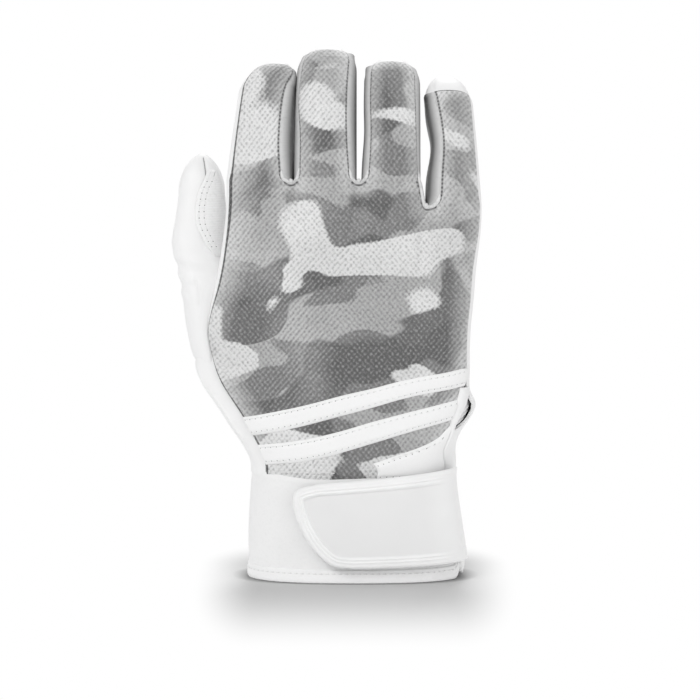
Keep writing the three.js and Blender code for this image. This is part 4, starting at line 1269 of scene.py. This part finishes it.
ELASTIC_FOOT, ELASTIC_WIDTH = 50, 9
angle = np.radians(np.linspace(18, 162, 150))[None, :]
z = np.linspace(ELASTIC_FOOT, ELASTIC_FOOT + ELASTIC_WIDTH, 16)[:, None]
ribs = 0.12 * np.sin(np.arange(16) * 2.1)[:, None]
elastic = lambda offset: hand_skin(angle, z, -PANEL_WALL + offset)
put("shirring_elastic", sheet(elastic(-0.35), elastic(ribs - 1.35)), pile, nodes=["wrist_elastic"])


# Strap
# A webbing strap with hook pile on its back wraps from the little finger's side over the back of the cuff,
# where a matching patch of loop pile is sewn. A moulded rubber tab with a raised rim covers its end.

STRAP_WIDTH, STRAP_FOOT = 37, 6.8
# How much the strap's lower and upper edge climb towards the little finger
STRAP_RISES = (0.02, 0.085)
HINGE_SWELL, HINGE_HEIGHT = 0.5, 29.5
# Where the webbing's bend starts and ends: x from the hinge, then y
BEND_PLACES = ((0, 2), (-4, -7))
TAB_START, TAB_SLANT, TAB_END_SHARE = -14.5, 16.5, 0.95
HOOK_INNER, WEBBING_INNER, TAB_INNER = 1.6, 2.85, 4.2
STRAP_HINGE = radians(-8)
# Length of the tab's run, the distance from the hinge at which its relief starts, and its rise
TAB_RUN, RELIEF_FADE = 60, (8, 18)
TAB_WALL, LINE_HEIGHT, LINE_INSETS, FIELD_INSET, FIELD_DROP = 1.5, 0.32, (2.7, 4.0), 4.6, 0.5
STRAP_END = np.array([[0, 1.55], [0.02, 1.18], [0.05, 1.0], [0.09, 0.86], [0.235, 0.54], [0.41, 0.29],
                      [0.62, 0.09], [0.8, 0], [0.92, 0.06], [0.97, 0.26], [1, 0.6]])


def back_turn(x, z, offset):
    """Angle of the point of the back of the hand that lies at x."""
    middle, half, _, _ = hand_oval(z)
    return CIRCLE - turn_at(np.clip((x - middle) / (half + offset), -1, 1), HAND_BEND)


def strap_z(height, x):
    """Height on the strap, whose two straight edges climb with x."""
    return STRAP_FOOT + STRAP_WIDTH * height + mix(*STRAP_RISES, height) * x


def strap_skin(height, run, offset):
    """A place on the strap: its height as a share of its width, and its run from the front end at 0 to the
    hinge at 1, spread evenly by the turn round the cuff."""
    x = TAB_START + TAB_SLANT * through(STRAP_END, height)[0]
    z = strap_z(height, x)
    offset = offset + HINGE_SWELL * above(run, 0.6, 0.4)
    angle = mix(back_turn(x, z, offset), CIRCLE + STRAP_HINGE, run)
    for _ in range(3):
        x = cuff_skin(angle, z, offset)[..., 0]
        z = strap_z(height, x)
    return cuff_skin(angle, z, offset)


rubber, wire, feed = finish_of("moulded_rubber", 0.84, 0.42)
_, inset, relief_share = uv_map(wire, "cloth")
field = ((inset / MM - FIELD_INSET) / 0.4).held() * (relief_share / MM)
feed(wire.tone(0.88).tint(0.8, field).tint(0.72, (wire.noise(45) - 0.4).held() * 0.6), wire.noise(1500),
     depth=0.06, strength=0.4)


def crowded(near, cells, middle):
    """Shares from 0 to 1, with close steps over the first and the last part."""
    return np.concatenate([np.linspace(0, near, cells), np.linspace(near, 1 - near, middle)[1:-1],
                           np.linspace(1 - near, 1, cells)])


height = crowded(0.15, 30, 34)[:, None]
run = TAB_END_SHARE * crowded(0.09, 32, 90)[None, :] + 0 * height
flat = strap_skin(height, run, TAB_INNER + TAB_WALL)
fine = np.linspace(0, 1, 500)[:, None]
end = strap_skin(fine, 0 * fine, TAB_INNER + TAB_WALL)[:, 0]
from_end = np.min(np.hypot(flat[..., None, 0] - end[:, 0], flat[..., None, 2] - end[:, 2]), -1)
from_hinge = (TAB_END_SHARE - run) * TAB_RUN
edge = np.minimum(from_end, np.minimum(height, 1 - height) * STRAP_WIDTH)
# The rim, the lines and the field's recess fade out towards the hinge
faded = above(from_hinge, *RELIEF_FADE)
relief = TAB_WALL * np.clip(edge / 1.1, 0, 1) ** 0.45
relief = relief - FIELD_DROP * faded * above(edge, FIELD_INSET, 0.7)
lines = LINE_HEIGHT * sum(bell(edge - at, 0.42) for at in LINE_INSETS)
relief = (relief + lines * faded) * np.clip(from_hinge / 7, 0.4, 1) ** 0.7
tab_grid = strap_skin(height, run, TAB_INNER + relief)
put("strap_tab_rubber", sheet(tab_grid, strap_skin(height, run, TAB_INNER + 0 * run)), rubber,
    body="strap", nodes=["strap_tab"], maps={"cloth": np.stack([edge, faded], -1)})


def strap_layer(margin, last, inner, wall, cells, rows):
    """A flat layer under the tab, set in from its outline by a margin."""
    height = np.linspace(margin / STRAP_WIDTH, 1 - margin / STRAP_WIDTH, rows)[:, None]
    run = np.linspace(0.02 + margin * 0.004, last, cells)[None, :] + 0 * height
    edge = np.minimum(height, 1 - height) * STRAP_WIDTH - margin
    round_edge = wall * np.clip(edge / 0.8 + 0.15, 0, 1) ** 0.5
    return strap_skin(height, run, inner + round_edge), strap_skin(height, run, inner + 0 * run)


hinge_x = float(cuff_skin(STRAP_HINGE, 25.0, WEBBING_INNER + HINGE_SWELL)[0])
strap_bends = ("strap", *((hinge_x + east, north, HINGE_HEIGHT) for east, north in BEND_PLACES))
outer, inner = strap_layer(1.3, 1, WEBBING_INNER, 1.1, 150, 24)
put("strap_webbing_tape", sheet(outer, inner), band, blend=strap_bends, nodes=["strap_webbing"],
    maps={"cloth": outer[..., [0, 2]]})
outer, inner = strap_layer(4.0, 0.5, HOOK_INNER, 0.9, 60, 20)
put("hook_pile", sheet(outer, inner), pile, body="strap", nodes=["hook_patch"])

# The strap's sewn end, from the hinge round to the palm side of the cuff
ROOT_END, ROOT_SHARES = radians(62), (0.04, 0.96)
angle = np.linspace(STRAP_HINGE, ROOT_END, 90)[None, :]
height = np.linspace(*ROOT_SHARES, 24)[:, None]
z = strap_z(height, hinge_x) + 0 * angle
settle = mix(WEBBING_INNER + HINGE_SWELL, 0.65, smooth((angle - STRAP_HINGE) / radians(40)))
edge = np.minimum(height - ROOT_SHARES[0], ROOT_SHARES[1] - height) * STRAP_WIDTH
root = lambda offset: cuff_skin(angle, z, settle + offset)
outer = root(1.1 * np.clip(edge / 0.8 + 0.15, 0, 1) ** 0.5)
put("strap_root_tape", sheet(outer, root(0 * edge)), band, nodes=["strap_root"],
    maps={"cloth": outer[..., [0, 2]]})
for share in (0.1, 0.9):
    line = lambda offset: cuff_skin(angle[0], strap_z(share, hinge_x), settle[0] + offset)
    threads.append(sewn(line(1.0), line(2.0)))

# Loop pile on the back of the cuff
LOOP_HEIGHTS, LOOP_INSET, LOOP_END = (10.4, 41.5), 6, 42
z = np.linspace(*LOOP_HEIGHTS, 30)[:, None]
slanted = TAB_START + LOOP_INSET + TAB_SLANT * through(STRAP_END, (z - STRAP_FOOT) / STRAP_WIDTH)[0]
x = mix(slanted, LOOP_END, np.linspace(0, 1, 60)[None, :])
patch = lambda offset: cuff_skin(back_turn(x, z, 0), z, offset)
put("loop_pile", sheet(patch(1.25), patch(0.5)), pile, nodes=["loop_patch"])

put("trim_threads", joined(threads), thread)


# Studio
# A white floor with a painted shadow round the glove's foot, soft light, and a long lens at the photograph's
# height.

floor_finish, wire, feed = finish_of("floor", 0.96, 0.9)
tree = floor_finish.node_tree
shader = Wire(tree, tree.nodes["Principled BSDF"].outputs[0])


def seen(wire):
    """1 for what the camera sees, straight, in gloss or through glass."""
    path = wire.node("ShaderNodeLightPath")
    camera, gloss, through_glass = (Wire(wire.tree, path.socket.node.outputs[f"Is {ray} Ray"])
                                    for ray in ("Camera", "Glossy", "Transmission"))
    return (camera + gloss + through_glass).held()


# The camera sees a floor with a painted shadow: its colour is grey round the glove's foot, on top of the real
# shade that it gets, darkest in a painted contact shadow along the hem, and plain white further off. The
# painted shadow reaches this far from the foot's own oval, to the sides, the front and the back
SHADE_SIDE, SHADE_FRONT, SHADE_REAR = 0.03, 0.16, 0.06
FOOT_MIDDLE, FOOT_HALF, FOOT_DEPTH = 0.0121, 0.047, 0.0255
# Greys of the painted shadow and of the darker painted contact shadow along the hem
SHADED, CONTACT_SHADOW = 0.58, 0.16
east = wire.math("ABSOLUTE", wire.place().part(0) - FOOT_MIDDLE)
north = wire.place().part(1)
beyond = lambda value: wire.math("MAXIMUM", value, 0.0)
side = beyond(east - FOOT_HALF * 0.85) / SHADE_SIDE
front = beyond(north * -1.0 - FOOT_DEPTH * 0.8) / SHADE_FRONT + beyond(north - FOOT_DEPTH) / SHADE_REAR
away = wire.math("SQRT", side * side + front * front).held()
share = away * away * (away * -2.0 + 3.0)
oval = wire.math("POWER", east / FOOT_HALF, HAND_BEND) + wire.math(
    "POWER", wire.math("ABSOLUTE", north - 0.002) / FOOT_DEPTH, HAND_BEND)
contact_shadow = ((1.4 - oval) * 2.0).held()
shade = wire.node("ShaderNodeBsdfDiffuse", None, {"Color": wire.tone(SHADED).tint(CONTACT_SHADOW, contact_shadow)})
white = wire.node("ShaderNodeEmission", None, {"Color": grey(1.0), "Strength": 1.0})
shown = wire.node("ShaderNodeMixShader", None, {0: share, 1: shade, 2: white})
lit = wire.node("ShaderNodeMixShader", None, {0: seen(wire), 1: shader, 2: shown})
tree.links.new(lit.socket, tree.nodes["Material Output"].inputs["Surface"])
FLOOR_SIZE = 3.0
corners = [(x * FLOOR_SIZE, y * FLOOR_SIZE, 0) for x, y in ((-1, -1), (1, -1), (1, 1), (-1, 1))]
floor_mesh = bpy.data.meshes.new("floor")
floor_mesh.from_pydata(corners, [], [(0, 1, 2, 3)])
floor_mesh.materials.append(floor_finish)
floor = bpy.data.objects.new("floor", floor_mesh)
bpy.context.scene.collection.objects.link(floor)

world = bpy.data.worlds.new("studio")
bpy.context.scene.world = world
world.use_nodes = True
sky = Wire(world.node_tree)
WORLD_LEVEL = 0.5
background = world.node_tree.nodes["Background"]
background.inputs["Color"].default_value = grey(1.0)
world.node_tree.links.new((seen(sky) * (1 - WORLD_LEVEL) + WORLD_LEVEL).socket, background.inputs["Strength"])


def lamp(name, place, target, size, power_w):
    """A round soft lamp at a place, turned towards a target."""
    light = bpy.data.lights.new(name, "AREA")
    light.shape = "DISK"
    light.size = size
    light.energy = power_w
    lamp_object = bpy.data.objects.new(name, light)
    lamp_object.location = place
    aim = np.array(target) - np.array(place)
    lamp_object.rotation_euler = (math.atan2(math.hypot(aim[0], aim[1]), -aim[2]), 0,
                                  math.atan2(aim[0], -aim[1]) + pi)
    bpy.context.scene.collection.objects.link(lamp_object)


lamp("key", (-0.7, -0.9, 1.0), (0, 0, 0.12), 0.7, 8)
lamp("fill", (0.9, -0.7, 0.5), (0, 0, 0.1), 0.9, 3)
lamp("rear", (0.1, 0.8, 1.1), (0, 0, 0.05), 0.4, 5.5)

camera = bpy.data.cameras.new("camera")
camera.sensor_width = 36
CAMERA_DISTANCE, FIELD = 1.6, 0.303
CAMERA_ELEVATION = radians(6)
camera.lens = camera.sensor_width * CAMERA_DISTANCE / FIELD
view = bpy.data.objects.new("camera", camera)
target = np.array([0.0099, 0.0, 0.0985])
back_off = np.array([0, -math.cos(CAMERA_ELEVATION), math.sin(CAMERA_ELEVATION)])
view.location = target + CAMERA_DISTANCE * back_off
view.rotation_euler = (pi / 2 - CAMERA_ELEVATION, 0, 0)
camera.clip_end = 20
bpy.context.scene.collection.objects.link(view)
bpy.context.scene.camera = view
bpy.context.scene.view_settings.view_transform = "Standard"
